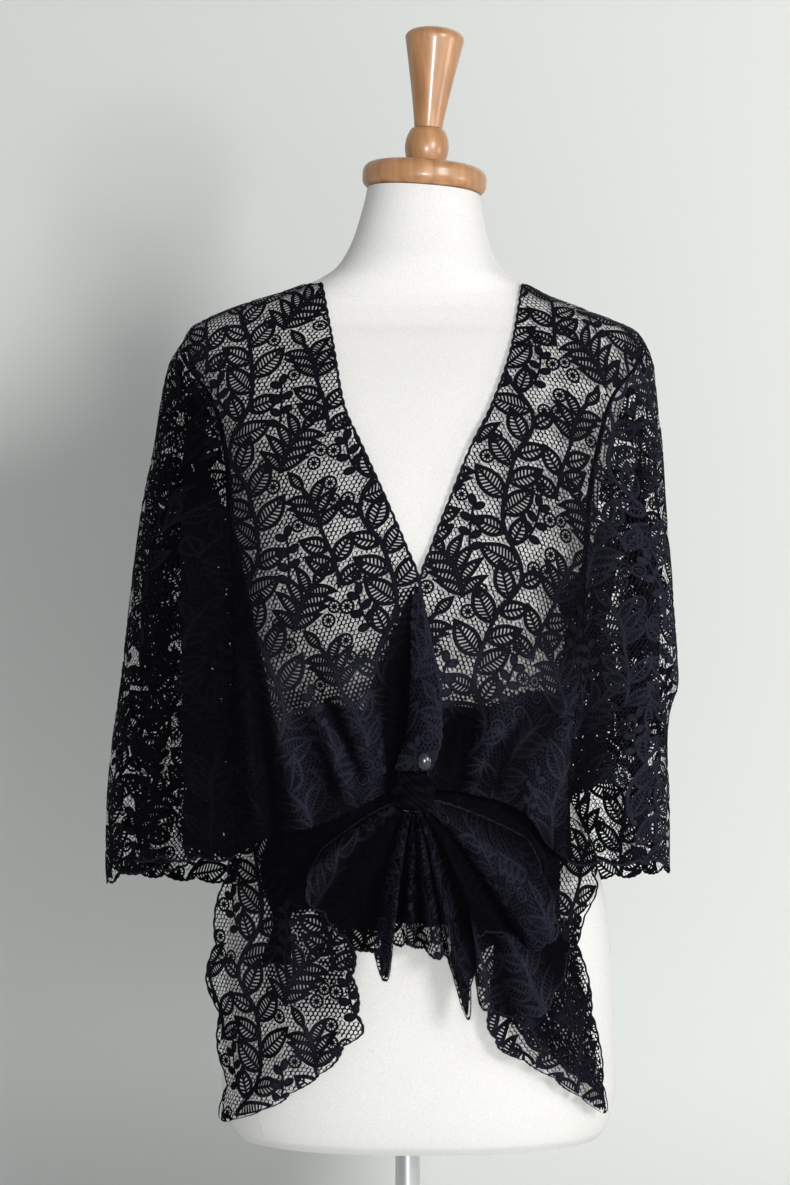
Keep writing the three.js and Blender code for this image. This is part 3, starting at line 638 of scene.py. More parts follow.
# %% Lapel, tails and flaps
KNOT = {"x": -2.5, "y": -132.0, "h": 288.0, "wide": 17.0, "deep": 15.0, "tall": 15.0}
GATHER = {"x": 36.0, "y": -112.4, "h": 246.0, "wide": 9.0, "deep": 4.0, "tall": 4.0}
LAPEL_REST = -0.2  # how far the lapel's inner edge stands off the front
LAPEL = table(
    "h inner outer stand",
    (304.5, -17, 10, 12), (316, -13, 15, 14), (332, -8, 19, 15), (359, -5, 19, 13), (390, -4, 14, 10),
    (421, -4, 8, 6), (446, -1, 3, 2),
)
TAIL_LEFT = [
    (-72, -130, 244), (-83, -142, 214), (-66, -124, 190), (-49, -122, 171), (-34, -134, 168),
    (-23, -152, 148), (-19, -136, 168),
]
TAIL_MIDDLE = [
    (-28, -108, 180), (-12, -112, 171), (-5, -128, 173), (3, -114, 169), (16, -134, 164), (24, -114, 161),
    (31, -130, 141), (39, -135, 116), (43, -120, 148), (56, -108, 172),
]
TAIL_RIGHT = [
    (84, -138, 254), (104, -146, 202), (103, -158, 181), (87, -142, 171), (68, -128, 183),
    (48, -136, 180),
]
TAIL_UNDER = [
    (47, -114, 141), (52, -124, 123), (72, -118, 117), (93, -128, 118), (107, -120, 135),
    (119, -108, 167),
]
TAIL_FALL = (0.85, 0.8, 1.1)  # how soon x, y and h run from the knot to the hem
FLAP_COLUMNS = "h outer inner outer_y inner_y"
FLAP_LEFT = table(
    FLAP_COLUMNS,
    (318, -104, -3, -80, -101), (300, -107, -4, -82, -105), (280, -112, -9, -84, -119.2),
    (252, -134, -44, -78, -112), (228, -145, -67, -72, -109), (197, -153, -58, -66, -110),
    (165, -158, -52, -62, -111), (134, -162, -50, -60, -113), (103, -155, -45, -60, -115),
    (87, -154, -60, -62, -113), (71, -152, -72, -63, -110), (56, -149, -93, -65, -104),
    (40, -151, -115, -66, -94), (23, -154, -150, -68, -72),
)
FLAP_RIGHT = table(
    FLAP_COLUMNS,
    (318, 102, 1, -80, -96), (300, 106, 2, -83, -99), (280, 110, 4, -86, -119.2),
    (250, 132, 50, -78, -112), (212, 142, 72, -70, -105), (181, 128, 78, -78, -103),
    (165, 127, 70, -78, -104), (134, 132, 62, -76, -107), (103, 139, 60, -74, -110),
    (90, 140, 66, -74, -110), (71, 144, 97, -72, -102), (56, 147, 118, -71, -94),
    (40, 149, 137, -70, -82), (30, 151, 148, -70, -73),
)
FLAP_RIPPLE = {"waves": 2.5, "depth": 4.0, "full_below": 190, "gone_above": 240, "full_width": 60}

lapel_at = curves(LAPEL, "h", "inner outer stand")


def lapel_row(h, t):
    x = mix(lapel_at["inner"](h), lapel_at["outer"](h), t)
    side = np.where(x < CENTRE, -1, 1)
    front = cloth_point(h, side, angle_at(h, side, np.abs(x - CENTRE)))
    stand = LAPEL_REST + lapel_at["stand"](h) * np.sin(0.5 * np.pi * t)
    return np.stack([x, np.minimum(front[:, 1], -section(h, side)[1]) - stand, np.full_like(x, h)], 1)


def lapel_grid(rows=60, columns=16):
    heights = np.linspace(LAPEL["h"][-1], LAPEL["h"][0], rows)
    return np.array([lapel_row(h, np.linspace(0, 1, columns)) for h in heights])


def hem_curve(ends, count):
    """A soft line through the hem ends of the folds, easing most where two ends lie close."""
    ends = np.array(ends, float)
    ends = np.concatenate([[2 * ends[0] - ends[1]], ends, [2 * ends[-1] - ends[-2]]])
    gap = np.linalg.norm(np.diff(ends, axis=0), axis=1)[:, None] ** 0.5
    line = []
    for place in np.linspace(0, len(ends) - 3, count):
        i = min(int(place), len(ends) - 4)
        p, q, r, s = ends[i:i + 4]
        a, b, c = gap[i:i + 3]
        leaving = ((q - p) / a - (r - p) / (a + b) + (r - q) / b) * b
        arriving = ((r - q) / b - (s - q) / (b + c) + (s - r) / c) * b
        t = place - i
        line.append(mix(q, r, ease(t)) + t * (1 - t) ** 2 * leaving + t * t * (t - 1) * arriving)
    return np.array(line)


def tail_grid(ends, start, rows=48, columns=90):
    centre = np.array([start["x"], start["y"], start["h"]])
    hem = hem_curve(ends, columns)
    way = hem - centre
    radius = 1 / np.linalg.norm(way / [start["wide"], start["deep"], start["tall"]], axis=1)[:, None]
    top = centre + way * radius + 2 * PIECE_GAP * way / np.linalg.norm(way, axis=1)[:, None]
    share = np.linspace(0, 1, rows)[:, None, None] ** np.array(TAIL_FALL)
    return mix(top, hem, share)


def flap_grid(rows_table, rows=76, columns=56):
    edge = curves(rows_table, "h", "outer inner outer_y inner_y")
    t = np.linspace(0, 1, columns)
    grid = []
    for h in np.linspace(rows_table["h"][0], rows_table["h"][-1], rows):
        outer, inner = edge["outer"](h), edge["inner"](h)
        full, gone = FLAP_RIPPLE["full_below"], FLAP_RIPPLE["gone_above"]
        free = (1 - ease((h - full) / (gone - full))) * min(1, abs(outer - inner) / FLAP_RIPPLE["full_width"])
        ripple = FLAP_RIPPLE["depth"] * free * np.sin(np.pi * FLAP_RIPPLE["waves"] * t) ** 2
        y = mix(edge["outer_y"](h), edge["inner_y"](h), np.sin(0.5 * np.pi * t)) - ripple
        grid.append(np.stack([mix(outer, inner, t), y, np.full_like(t, h)], 1))
    return np.array(grid)


grids["lapel"] = lapel_grid()
for tail, ends, start in (
    ("tail_left", TAIL_LEFT, KNOT), ("tail_middle", TAIL_MIDDLE, KNOT),
    ("tail_right", TAIL_RIGHT, KNOT), ("tail_under", TAIL_UNDER, GATHER),
):
    grids[tail] = tail_grid(ends, start)
grids["flap_left"] = flap_grid(FLAP_LEFT)
grids["flap_right"] = flap_grid(FLAP_RIGHT)
print("stretches of cloth:", len(grids))

# %% [markdown]
# ## From flat lace to worn cloth
# Lace is worked flat, so its pattern is laid out flat and then bent onto the worn shape. A usual unwrap
# could give the flat place of each point, but it keeps angles, not lengths. So each grid point gets a rough
# place on the flat lace, and then all are moved a little at a time until neighbours lie as far apart as on
# the worn cloth. To bend the lace, every flat point finds its place on the grid by steps of Newton's
# method.

# %% Flat and worn
MARGIN = 3.0  # rows or columns that the lace may reach past its grid
FOLD_REACH = 26.0  # folds narrower than this count as ridges and hollows
PULL = 0.3  # share of its way that a point moves in one round
LEAST_CELL = 0.15  # a flat cell with less than this share of its area counts as turned over
EVEN_OUT = 0.6
SEARCH_STEPS = 10
LONGEST_STEP = 4  # rows or columns that the search moves at once
TINY = 1e-6
FORWARD = (0, -1, 0)
OUTWARD = {"sleeve_left": (-1, 0, 0), "sleeve_right": (1, 0, 0), "back": (0, 1, 0)}
NEIGHBOURS = [
    (np.s_[:, :-1], np.s_[:, 1:]), (np.s_[:-1], np.s_[1:]),
    (np.s_[:-1, :-1], np.s_[1:, 1:]), (np.s_[:-1, 1:], np.s_[1:, :-1]),
]


def flattened(grid, flat, rounds=400):
    """Moves flat points until neighbours lie as far apart as they do on the worn cloth."""
    rest = [np.linalg.norm(grid[b] - grid[a], axis=2) for a, b in NEIGHBOURS]
    for _ in range(rounds):
        move = np.zeros_like(flat)
        for (a, b), length in zip(NEIGHBOURS, rest):
            way = flat[b] - flat[a]
            now = np.maximum(np.linalg.norm(way, axis=2), TINY)
            pull = way * (0.5 - 0.5 * length / now)[:, :, None]
            move[a] += pull
            move[b] -= pull
        flat = flat + PULL * move
    return flat


def softened(values, rounds):
    """A grid evened out over its neighbours, again and again."""
    for _ in range(rounds):
        wide = np.pad(values, ((1, 1), (1, 1), (0, 0)), mode="reflect", reflect_type="odd")
        values = (wide[:-2, 1:-1] + wide[2:, 1:-1] + wide[1:-1, :-2] + wide[1:-1, 2:]) / 4
    return values


def untangled(flat, rounds=120):
    """Evens out the few flat points beside cells that have turned over."""
    for _ in range(rounds):
        across = flat[:-1, 1:] - flat[:-1, :-1]
        down = flat[1:, :-1] - flat[:-1, :-1]
        size = np.linalg.norm(across, axis=2) * np.linalg.norm(down, axis=2)
        bad = across[:, :, 1] * down[:, :, 0] - across[:, :, 0] * down[:, :, 1] < LEAST_CELL * size
        if not bad.any():
            break
        beside = np.pad(bad, 2)
        beside = beside[:-3] | beside[1:-2] | beside[2:-1] | beside[3:]
        beside = beside[:, :-3] | beside[:, 1:-2] | beside[:, 2:-1] | beside[:, 3:]
        flat = np.where(beside[:, :, None], mix(flat, softened(flat, 1), EVEN_OUT), flat)
    return flat


def first_chart(grid):
    """A rough flat place for each point: lengths along its row, and the way of the middle column."""
    middle = grid.shape[1] // 2
    way = np.gradient(grid, axis=1)[:, middle]
    way /= np.linalg.norm(way, axis=1)[:, None]
    step = np.diff(grid[:, middle], axis=0)
    aside = np.sum(step * (way[:-1] + way[1:]) / 2, axis=1)
    apart = np.sqrt(np.maximum(np.sum(step ** 2, axis=1) - aside ** 2, 0))
    along = walked(grid)
    across = along - along[:, middle:middle + 1] + np.concatenate([[0], np.cumsum(aside)])[:, None]
    fall = np.concatenate([[0], np.cumsum(apart)])[:, None]
    return np.stack(np.broadcast_arrays(across, -fall), 2)


def sampled(values, index):
    """Values of a grid at fractional rows and columns, and how they change along each."""
    rows, columns = values.shape[:2]
    cell = np.clip(np.floor(index).astype(int), 0, [rows - 2, columns - 2])
    s, t = np.hsplit(index - cell, 2)
    r, c = cell.T
    a, b = values[r, c], values[r, c + 1]
    d, e = values[r + 1, c], values[r + 1, c + 1]
    top = mix(a, b, t)
    low = mix(d, e, t)
    return mix(top, low, s), low - top, mix(b - a, e - d, s)


class Stretch:
    """A stretch of worn cloth, with the place of each of its points on the flat lace."""

    def __init__(self, grid, outward, fan=False):
        self.grid = grid
        self.last = np.array(grid.shape[:2]) - 1.0
        normal = np.cross(np.gradient(grid, axis=1), np.gradient(grid, axis=0))
        normal /= np.linalg.norm(normal, axis=2)[:, :, None] + 1e-9
        self.turned = np.sum(normal @ np.array(outward, float)) < 0
        self.normal = -normal if self.turned else normal
        self.flat = untangled(flattened(grid, first_chart(grid)))
        self.tree = KDTree(self.flat[:, :, 0].size)
        for number, (u, v) in enumerate(self.flat.reshape(-1, 2).tolist()):
            self.tree.insert((u, v, 0), number)
        self.tree.balance()
        cell = np.cross(grid[1:, :-1] - grid[:-1, :-1], grid[:-1, 1:] - grid[:-1, :-1])
        self.area = np.linalg.norm(cell, axis=2).sum()
        if fan:
            self.ridge = (grid.mean(1, keepdims=True) - grid)[:, :, 1:2]
        else:
            rounds = int(2 * FOLD_REACH ** 2 * self.last.prod() / self.area)
            self.ridge = np.sum((grid - softened(grid, rounds)) * self.normal, axis=2, keepdims=True)

    def start(self, flat):
        """The grid point that lies nearest on the flat lace, to begin the search from."""
        best = [self.tree.find((u, v, 0))[1] for u, v in flat.tolist()]
        return np.stack(np.divmod(best, self.grid.shape[1]), 1).astype(float)

    def find(self, flat):
        """Rows and columns of flat points on the grid, and how far each search missed."""
        index = self.start(flat)
        for _ in range(SEARCH_STEPS):
            here, by_row, by_column = sampled(self.flat, index)
            miss = flat - here
            area = by_row[:, 0] * by_column[:, 1] - by_row[:, 1] * by_column[:, 0]
            area = np.where(np.abs(area) < TINY, TINY, area)
            rows = (miss[:, 0] * by_column[:, 1] - miss[:, 1] * by_column[:, 0]) / area
            columns = (by_row[:, 0] * miss[:, 1] - by_row[:, 1] * miss[:, 0]) / area
            index = index + np.clip(np.stack([rows, columns], 1), -LONGEST_STEP, LONGEST_STEP)
            index = np.clip(index, -MARGIN, self.last + MARGIN)
        return index, np.linalg.norm(flat - sampled(self.flat, index)[0], axis=1)

    def worn(self, index, rise=0.0):
        """Points on the outer face of the worn cloth, raised by a height off it."""
        normal = sampled(self.normal, np.clip(index, 0, self.last))[0]
        normal /= np.linalg.norm(normal, axis=1)[:, None]
        height = np.broadcast_to(0.5 * CLOTH + rise, len(index))
        return sampled(self.grid, index)[0] + normal * height[:, None]


stretches = {}
for name, grid in grids.items():
    stretches[name] = Stretch(grid, OUTWARD.get(name, FORWARD), fan=name.startswith("tail"))
print("cloth in square metres:", round(sum(part.area for part in stretches.values()) * MM * MM, 3))

# %% [markdown]
# ## Parts of the lace
# The lace is a net of small slanted holes with leaves worked into it. Heavy threads outline every leaf, and
# bars cross it like the rungs of a ladder. Round curves with a bevel would give true threads, but millions
# of faces. So each part is drawn once, flat and in millimetres, as bands and bars that rise a little along
# their middle, with the outline that it takes out of the net.

# %% Bands, bars, leaves, berries and rings
RISE = {
    "outline": 0.5, "rib": 0.6, "rung": 0.25, "stem": 0.7,
    "stalk": 0.5, "spoke": 0.2, "hub": 0.45, "pip": 0.1,
}
LADDER_LEAF = {"edge": 3.3, "rib": 2.3, "slant": 0.1, "bar": 1.7}
PALM_LEAF = {"edge": 3.2, "rib": 0, "slant": 0, "bar": 1.7}
BAND_SIDE = 0.25  # rise of a band's sides, as a share of its middle's
LEAF_POINTS = 9
RUNG_SPAN = (0.14, 0.74)  # where the rungs of a leaf start and end along it


def flipped(faces):
    """The same faces, turned to face the other way."""
    return faces[:, [1, 0, 3, 2]]


def sideways(path, closed):
    way = np.roll(path, -1, 0) - np.roll(path, 1, 0) if closed else np.gradient(path, axis=0)
    way = way / (np.linalg.norm(way, axis=1)[:, None] + 1e-9)
    return np.stack([-way[:, 1], way[:, 0]], 1)


def band(path, half, rise, closed=False):
    """A thread along a path: three points across, the middle one raised."""
    side = sideways(path, closed) * half
    count = len(path)
    flat = np.stack([path - side, path, path + side], 1).reshape(-1, 2)
    first = np.arange(count if closed else count - 1)
    a, b = 3 * first, 3 * ((first + 1) % count)
    faces = np.concatenate([np.stack([a + c + 1, b + c + 1, b + c, a + c], 1) for c in (0, 1)])
    return flat, np.tile([BAND_SIDE * rise, rise, BAND_SIDE * rise], count), faces


def bars(start, end, half, rise):
    """Flat bars from each start to its end."""
    way = end - start
    side = half * np.stack([-way[:, 1], way[:, 0]], 1) / (np.linalg.norm(way, axis=1)[:, None] + 1e-9)
    flat = np.stack([start - side, end - side, end + side, start + side], 1).reshape(-1, 2)
    return flat, np.full(len(flat), rise), np.arange(len(flat)).reshape(-1, 4)


def joined(parts):
    counts = np.cumsum([0] + [len(flat) for flat, _, _ in parts])
    faces = [part[2] + count for part, count in zip(parts, counts)]
    return tuple(map(np.concatenate, ([p[0] for p in parts], [p[1] for p in parts], faces)))


def along(path, share):
    run = np.linspace(0, 1, len(path))
    return np.stack([np.interp(share, run, path[:, axis]) for axis in (0, 1)], -1)


def bow(start, middle, end, count=12):
    """A path from start to end that is pulled towards a middle point."""
    t = np.linspace(0, 1, count)[:, None]
    start, middle, end = np.array(start, float), np.array(middle, float), np.array(end, float)
    return (1 - t) ** 2 * start + 2 * t * (1 - t) * middle + t * t * end


def leaf(length, width, bend, rungs, edge, rib, slant, bar):
    """A leaf along x: an outline, a rib where rib isn't 0, and rungs on both sides of it."""
    share = np.linspace(0, 1, LEAF_POINTS)
    axis = np.stack([length * share, bend * length * share ** 2], 1)
    reach = 0.5 * width * np.sin(np.pi * share ** 0.85)[:, None].clip(0) ** 0.8
    side = sideways(axis, False)
    inner = np.maximum(reach - 0.5 * edge, 0)
    loop = np.concatenate([axis + side * inner, (axis - side * inner)[-2:0:-1]])
    parts = [band(loop, 0.5 * edge, RISE["outline"], closed=True)]
    if rib:
        parts.append(band(axis[::2], 0.5 * rib, RISE["rib"]))
    foot = np.linspace(*RUNG_SPAN, rungs)
    for sign in (-1, 1):
        tip = along(axis + sign * side * inner, foot + slant)
        parts.append(bars(along(axis, foot), tip, 0.5 * bar, RISE["rung"]))
    return joined(parts), np.concatenate([axis + side * reach, (axis - side * reach)[-2:0:-1]])


def spin(turn):
    """The matrix that turns flat points by an angle."""
    return np.array([[np.cos(turn), np.sin(turn)], [-np.sin(turn), np.cos(turn)]])


def circle(count):
    turn = np.linspace(0, 2 * np.pi, count, endpoint=False)
    return np.stack([np.cos(turn), np.sin(turn)], 1)


def ring_flower(radius, spokes=9):
    """A heavy ring, a round of tiny holes and a small knot in the middle."""
    rim, hub = circle(2 * spokes), circle(spokes)
    corner = np.arange(2, spokes)
    knot = np.stack([np.zeros_like(corner), corner - 1, corner, corner], 1)
    parts = [
        band(0.83 * radius * rim, 0.17 * radius, RISE["outline"], closed=True),
        bars(0.36 * radius * hub, 0.7 * radius * hub, 0.085 * radius, RISE["spoke"]),
        band(0.27 * radius * hub, 0.14 * radius, RISE["hub"], closed=True),
        (0.16 * radius * hub, np.full(spokes, RISE["pip"]), knot),
    ]
    return joined(parts), radius * rim


def berry(length, width, corners=10):
    """A small closed oval, domed, that starts at its stalk."""
    rim = circle(corners) * [0.5 * length, 0.5 * width] + [0.5 * length, 0]
    centre = rim.mean(0)
    k = np.arange(corners)
    n = (k + 1) % corners
    top = np.full(corners, 2 * corners)
    faces = [np.stack([k, n, n + corners, k + corners], 1), np.stack([k + corners, n + corners, top, top], 1)]
    flat = np.concatenate([rim, mix(centre, rim, 0.55), [centre]])
    rise = np.repeat([RISE["pip"], RISE["outline"], RISE["rib"]], [corners, corners, 1])
    return (flat, rise, np.concatenate(faces)), rim


print("faces in a ladder leaf:", len(leaf(30, 18, 0.16, 7, **LADDER_LEAF)[0][2]))

# %% [markdown]
# ## One repeat of the lace
# Machine lace repeats. A winding stem with ladder leaves, two palms of narrow curved leaves, a short stem
# between them, two sprigs of berries and a handful of ring flowers fill one repeat. They could be scattered
# at random, but real lace is charted, so every part has its own place. Over the cloth the repeat is set in
# columns, and every second column is dropped by half, so that no row of equal leaves runs across.

# %% Repeat
REPEAT = np.array([104.0, 126.0])
LEAF_BEND = 0.16
RUNG_EVERY = 4.1
PALM_WIDTH = 10.4
PALM_SPREAD = 34
PALM_STEM = 2.0
STALK = 1.0
BERRY = (10.5, 7.2)
LOOK_ALONG = 0.02


def repeat_parts():
    """The parts of one repeat: each a shape and the outline that it takes out of the net."""
    parts = []

    def put(shape, outline=None, angle=0.0, place=(0, 0)):
        turned_by = spin(np.radians(angle))
        moved = [None if flat is None else flat @ turned_by + place for flat in (shape[0], outline)]
        parts.append(((moved[0], shape[1], shape[2]), moved[1]))

    def heading(path, share):
        way = along(path, min(share + LOOK_ALONG, 1)) - along(path, max(share - LOOK_ALONG, 0))
        return np.degrees(np.arctan2(way[1], way[0]))

    def stem(path, half, leaves):
        """A stem with ladder leaves: each has a place along it, an angle from it, a length and a width."""
        put(band(path, half, RISE["stem"]))
        for share, aside, length, width in leaves:
            bend = -LEAF_BEND * np.sign(aside)
            shape, outline = leaf(length, width, bend, round(length / RUNG_EVERY), **LADDER_LEAF)
            put(shape, outline, heading(path, share) + aside, along(path, share))

    def palm(path, length, places):
        """Narrow curved leaves on both sides of a stem."""
        put(band(path, PALM_STEM, RISE["stem"]))
        for share in places:
            for aside in (-PALM_SPREAD, PALM_SPREAD):
                longest_near_middle = length * (1 - 0.35 * abs(share - 0.4))
                shape, outline = leaf(longest_near_middle, PALM_WIDTH, 0.012 * aside, 7, **PALM_LEAF)
                put(shape, outline, heading(path, share) + aside, along(path, share))
        put(*leaf(0.8 * length, 10.0, 0.05, 6, **PALM_LEAF), heading(path, 1.0), path[-1])

    def sprig(path, berries):
        put(band(path, STALK, RISE["stalk"]))
        for share, aside in berries:
            put(*berry(*BERRY), heading(path, share) + aside, along(path, share))

    winding = np.concatenate([
        bow((-26, -63), (-48, -40), (-30, -18)), bow((-30, -18), (-14, 0), (-18, 22))[1:],
        bow((-18, 22), (-20, 44), (-26, 63))[1:],
    ])
    stem(winding, 1.8, [
        (0.05, -66, 30, 18), (0.15, 52, 22, 14), (0.25, -62, 36, 21), (0.37, 64, 26, 16), (0.45, -58, 28, 17),
        (0.57, 58, 32, 20), (0.67, -62, 34, 20), (0.77, 62, 30, 18), (0.88, -56, 32, 19), (0.96, 60, 26, 16),
    ])
    palm(bow((4, -62), (8, -44), (24, -28)), 26, [0.05, 0.3, 0.55, 0.8])
    palm(bow((34, 14), (34, 30), (22, 48)), 24, [0.08, 0.36, 0.64])
    stem(bow((44, -34), (46, -16), (34, 14)), 1.6, [
        (0.08, -60, 24, 15), (0.36, 62, 27, 17), (0.5, -58, 25, 16), (0.72, 60, 25, 16),
    ])
    sprig(bow((-30, -14), (-46, -4), (-46, 20)), [
        (0.36, 66), (0.46, -56), (0.66, 70), (0.74, -60), (0.96, 62), (1.0, -10),
    ])
    sprig(bow((4, -26), (8, -10), (6, 12)), [
        (0.1, 70), (0.36, 64), (0.42, -60), (0.66, 66), (0.72, -62), (0.96, 60), (1.0, -20),
    ])
    for x, y, radius in [
        (-8, -54, 6.0), (-2, 54, 6.2), (44, 50, 6.0), (32, -58, 5.8), (46, 36, 5.6), (16, 20, 5.6),
        (-44, 34, 6.0), (-47, -28, 5.8), (48, -50, 6.2), (38, -48, 5.4),
    ]:
        put(*ring_flower(radius), place=(x, y))
    return parts


REPEAT_PARTS = repeat_parts()


def repeats(low, high):
    """Copies of the repeat's parts that reach into a box of the flat lace."""
    first = np.floor(low / REPEAT).astype(int) - 1
    last = np.ceil(high / REPEAT).astype(int) + 1
    copies = []
    for column in range(first[0], last[0] + 1):
        for row in range(first[1], last[1] + 1):
            place = REPEAT * [column, row + 0.5 * (column % 2)]
            for (flat, rise, faces), outline in REPEAT_PARTS:
                moved = flat + place
                if (moved.max(0) < low).any() or (moved.min(0) > high).any():
                    continue
                copies.append(((moved, rise, faces), None if outline is None else outline + place))
    return copies


print("parts in one repeat:", len(REPEAT_PARTS))

# %% [markdown]
# ## The net between the leaves
# Six-sided cells fill what the leaves leave free. A wireframe modifier would give a net too, but with four
# sides to every thread. Here each cell is a flat ring of six faces, as open as the cloth is at that place. A
# cell whose middle lies under a leaf is left out, and corners that reach under one are moved to its
# outline, so the net is tied to the leaf. Each hole is a little longer than wide, leans, and is moved a
# little at random.

# %% Net
NET_PITCH = 3.7  # from cell to cell
NET_HOLE = 0.68  # width of a usual hole, as a share of its cell
WIDEST_HOLE = 0.85
NET_UNEVEN = 0.045  # how far a corner strays, as a share of the pitch
NET_RISE = 0.18
HOLE_LEAN = math.radians(62)
HOLE_STRETCH = (1.16, 0.92)
CLOSED_BELOW = 0.12  # a net less open than this has no holes
SAME_CORNER = 0.1  # corners nearer than this share of the pitch are one


def inside(points, outline):
    x, y = np.hsplit(points, 2)
    ahead = np.roll(outline, -1, 0)
    spans = (outline[:, 1] > y) != (ahead[:, 1] > y)
    rise = ahead[:, 1] - outline[:, 1]
    slope = (ahead[:, 0] - outline[:, 0]) * (y - outline[:, 1]) / np.where(rise == 0, 1, rise)
    crossing = slope + outline[:, 0]
    return (spans & (x < crossing)).sum(1) % 2 == 1


def nearest(points, outline):
    way = np.roll(outline, -1, 0) - outline
    share = ((points[:, None] - outline) * way).sum(2) / ((way ** 2).sum(1) + 1e-12)
    spots = outline + np.clip(share, 0, 1)[:, :, None] * way
    gap = ((points[:, None] - spots) ** 2).sum(2)
    return spots[np.arange(len(points)), gap.argmin(1)]


def under(points, outline):
    """Which points lie under a part of the lace."""
    close_by = ((points > outline.min(0)) & (points < outline.max(0))).all(1).nonzero()[0]
    return close_by[inside(points[close_by], outline)]


def tied(points, outlines):
    """The points, with those that lie under a part of the lace moved to its outline."""
    points = points.copy()
    for outline in outlines:
        found = under(points, outline)
        if len(found):
            points[found] = nearest(points[found], outline)
    return points


def cell_centres(low, high, outlines):
    row_step = NET_PITCH * math.sqrt(0.75)
    rows = np.arange(int((high[1] - low[1]) / row_step) + 2)
    columns = np.arange(int((high[0] - low[0]) / NET_PITCH) + 2)
    row, column = np.meshgrid(rows, columns, indexing="ij")
    across = low[0] + (column + 0.5 * (row % 2)) * NET_PITCH
    centres = np.stack([across, low[1] + row * row_step], 2).reshape(-1, 2)
    free = np.ones(len(centres), bool)
    for outline in outlines:
        free[under(centres, outline)] = False
    return centres[free]


def net(centres, openness, outlines):
    """Cells round their centres, each with a hole as open as openness says."""
    turn = np.radians(30 + 60 * np.arange(6))
    spoke = np.stack([np.cos(turn), np.sin(turn)], 1) * NET_PITCH / math.sqrt(3)
    corner = (centres[:, None] + spoke).reshape(-1, 2)
    key = np.round(corner / (SAME_CORNER * NET_PITCH)).astype(int)
    _, first, shared = np.unique(key, axis=0, return_index=True, return_inverse=True)
    lean = spin(HOLE_LEAN)
    shape = spoke @ (lean.T @ np.diag(HOLE_STRETCH) @ lean)
    open_cells = openness > CLOSED_BELOW
    size = np.minimum(NET_HOLE * np.sqrt(openness[open_cells]), WIDEST_HOLE)
    hole = (centres[open_cells][:, None] + shape * size[:, None, None]).reshape(-1, 2)
    outer = shared.reshape(-1, 6)
    closed = outer[~open_cells]
    faces = [closed[:, [0, 1, 2, 3]], closed[:, [0, 3, 4, 5]]]
    outer = outer[open_cells]
    inner = len(first) + np.arange(len(hole)).reshape(-1, 6)
    for k in range(6):
        n = (k + 1) % 6
        faces.append(np.stack([outer[:, k], outer[:, n], inner[:, n], inner[:, k]], 1))
    flat = np.concatenate([corner[first], hole])
    flat = flat + np.random.default_rng(4).normal(0, NET_UNEVEN, flat.shape) * NET_PITCH
    flat = tied(flat, outlines)
    return flat, np.full(len(flat), NET_RISE), np.concatenate(faces)


print("cells in a square metre of bare net:", round(1e6 / (NET_PITCH ** 2 * math.sqrt(0.75))))

# %% [markdown]
# ## Edges
# A corded thread finishes each free edge. Along the neck it makes small waves, along the hems scallops, and
# down the outer sides of the flaps long lobes. A curve with a bevel could be laid along each rim, but it
# wouldn't move the lace. Here the waves push the edge of the stretch out a little, the lace fills them, and
# the cord follows. A side with no wave is sewn to its neighbour.

# %% Edges
CORD = 2.2  # width of the cord
CORD_STEP = 1.6  # from point to point along it
CORD_RISE = 0.8
CORD_PROFILE = [(-0.15, 0.2), (0.35, CORD_RISE), (0.85, 0.3)]
LOBE_ROUNDNESS = 0.7
LOOPS = 5
NARROWEST_STEP = 0.4


def waves(long, deep, picot=0.0):
    """Lobes of one length and depth along an edge, each with five small loops."""
    def wave(run):
        lobe = np.abs(np.sin(np.pi * run / long)) ** LOBE_ROUNDNESS
        return deep * lobe + picot * np.abs(np.sin(LOOPS * np.pi * run / long))

    return wave


picot_wave = waves(8.6, 1.1)
scallop_wave = waves(30.0, 4.4, 0.9)
lobe_wave = waves(57.0, 6.2, 1.0)


def between(place, values):
    """Values at places between the points of a rim."""
    return np.interp(place, np.arange(len(values)), values)


class Edge:
    """One side of a stretch: how far it reaches past the grid, in rows or columns, at a place along it."""

    def __init__(self, rim, next_rim, wave):
        self.run = walked(rim)
        self.step = np.maximum(np.linalg.norm(rim - next_rim, axis=1), NARROWEST_STEP)
        self.wave = wave
        self.lobes = 0.0 if wave is None else wave(np.arange(0, self.run[-1])).sum()

    def reach(self, place):
        if self.wave is None:
            return np.zeros_like(place)
        return self.wave(between(place, self.run)) / between(place, self.step)


def edges_of(stretch, edge_waves):
    grid = stretch.grid
    rims = {
        "top": (grid[0], grid[1]), "bottom": (grid[-1], grid[-2]),
        "start": (grid[:, 0], grid[:, 1]), "end": (grid[:, -1], grid[:, -2]),
    }
    return {side: Edge(*rims[side], edge_waves.get(side)) for side in rims}


def limits(stretch, edges, index):
    """Lowest and highest row and column that the lace may have beside each place."""
    row, column = np.clip(index, 0, stretch.last).T
    low = np.stack([-edges["top"].reach(column), -edges["start"].reach(row)], 1)
    high = np.stack([edges["bottom"].reach(column), edges["end"].reach(row)], 1) + stretch.last
    return low, high


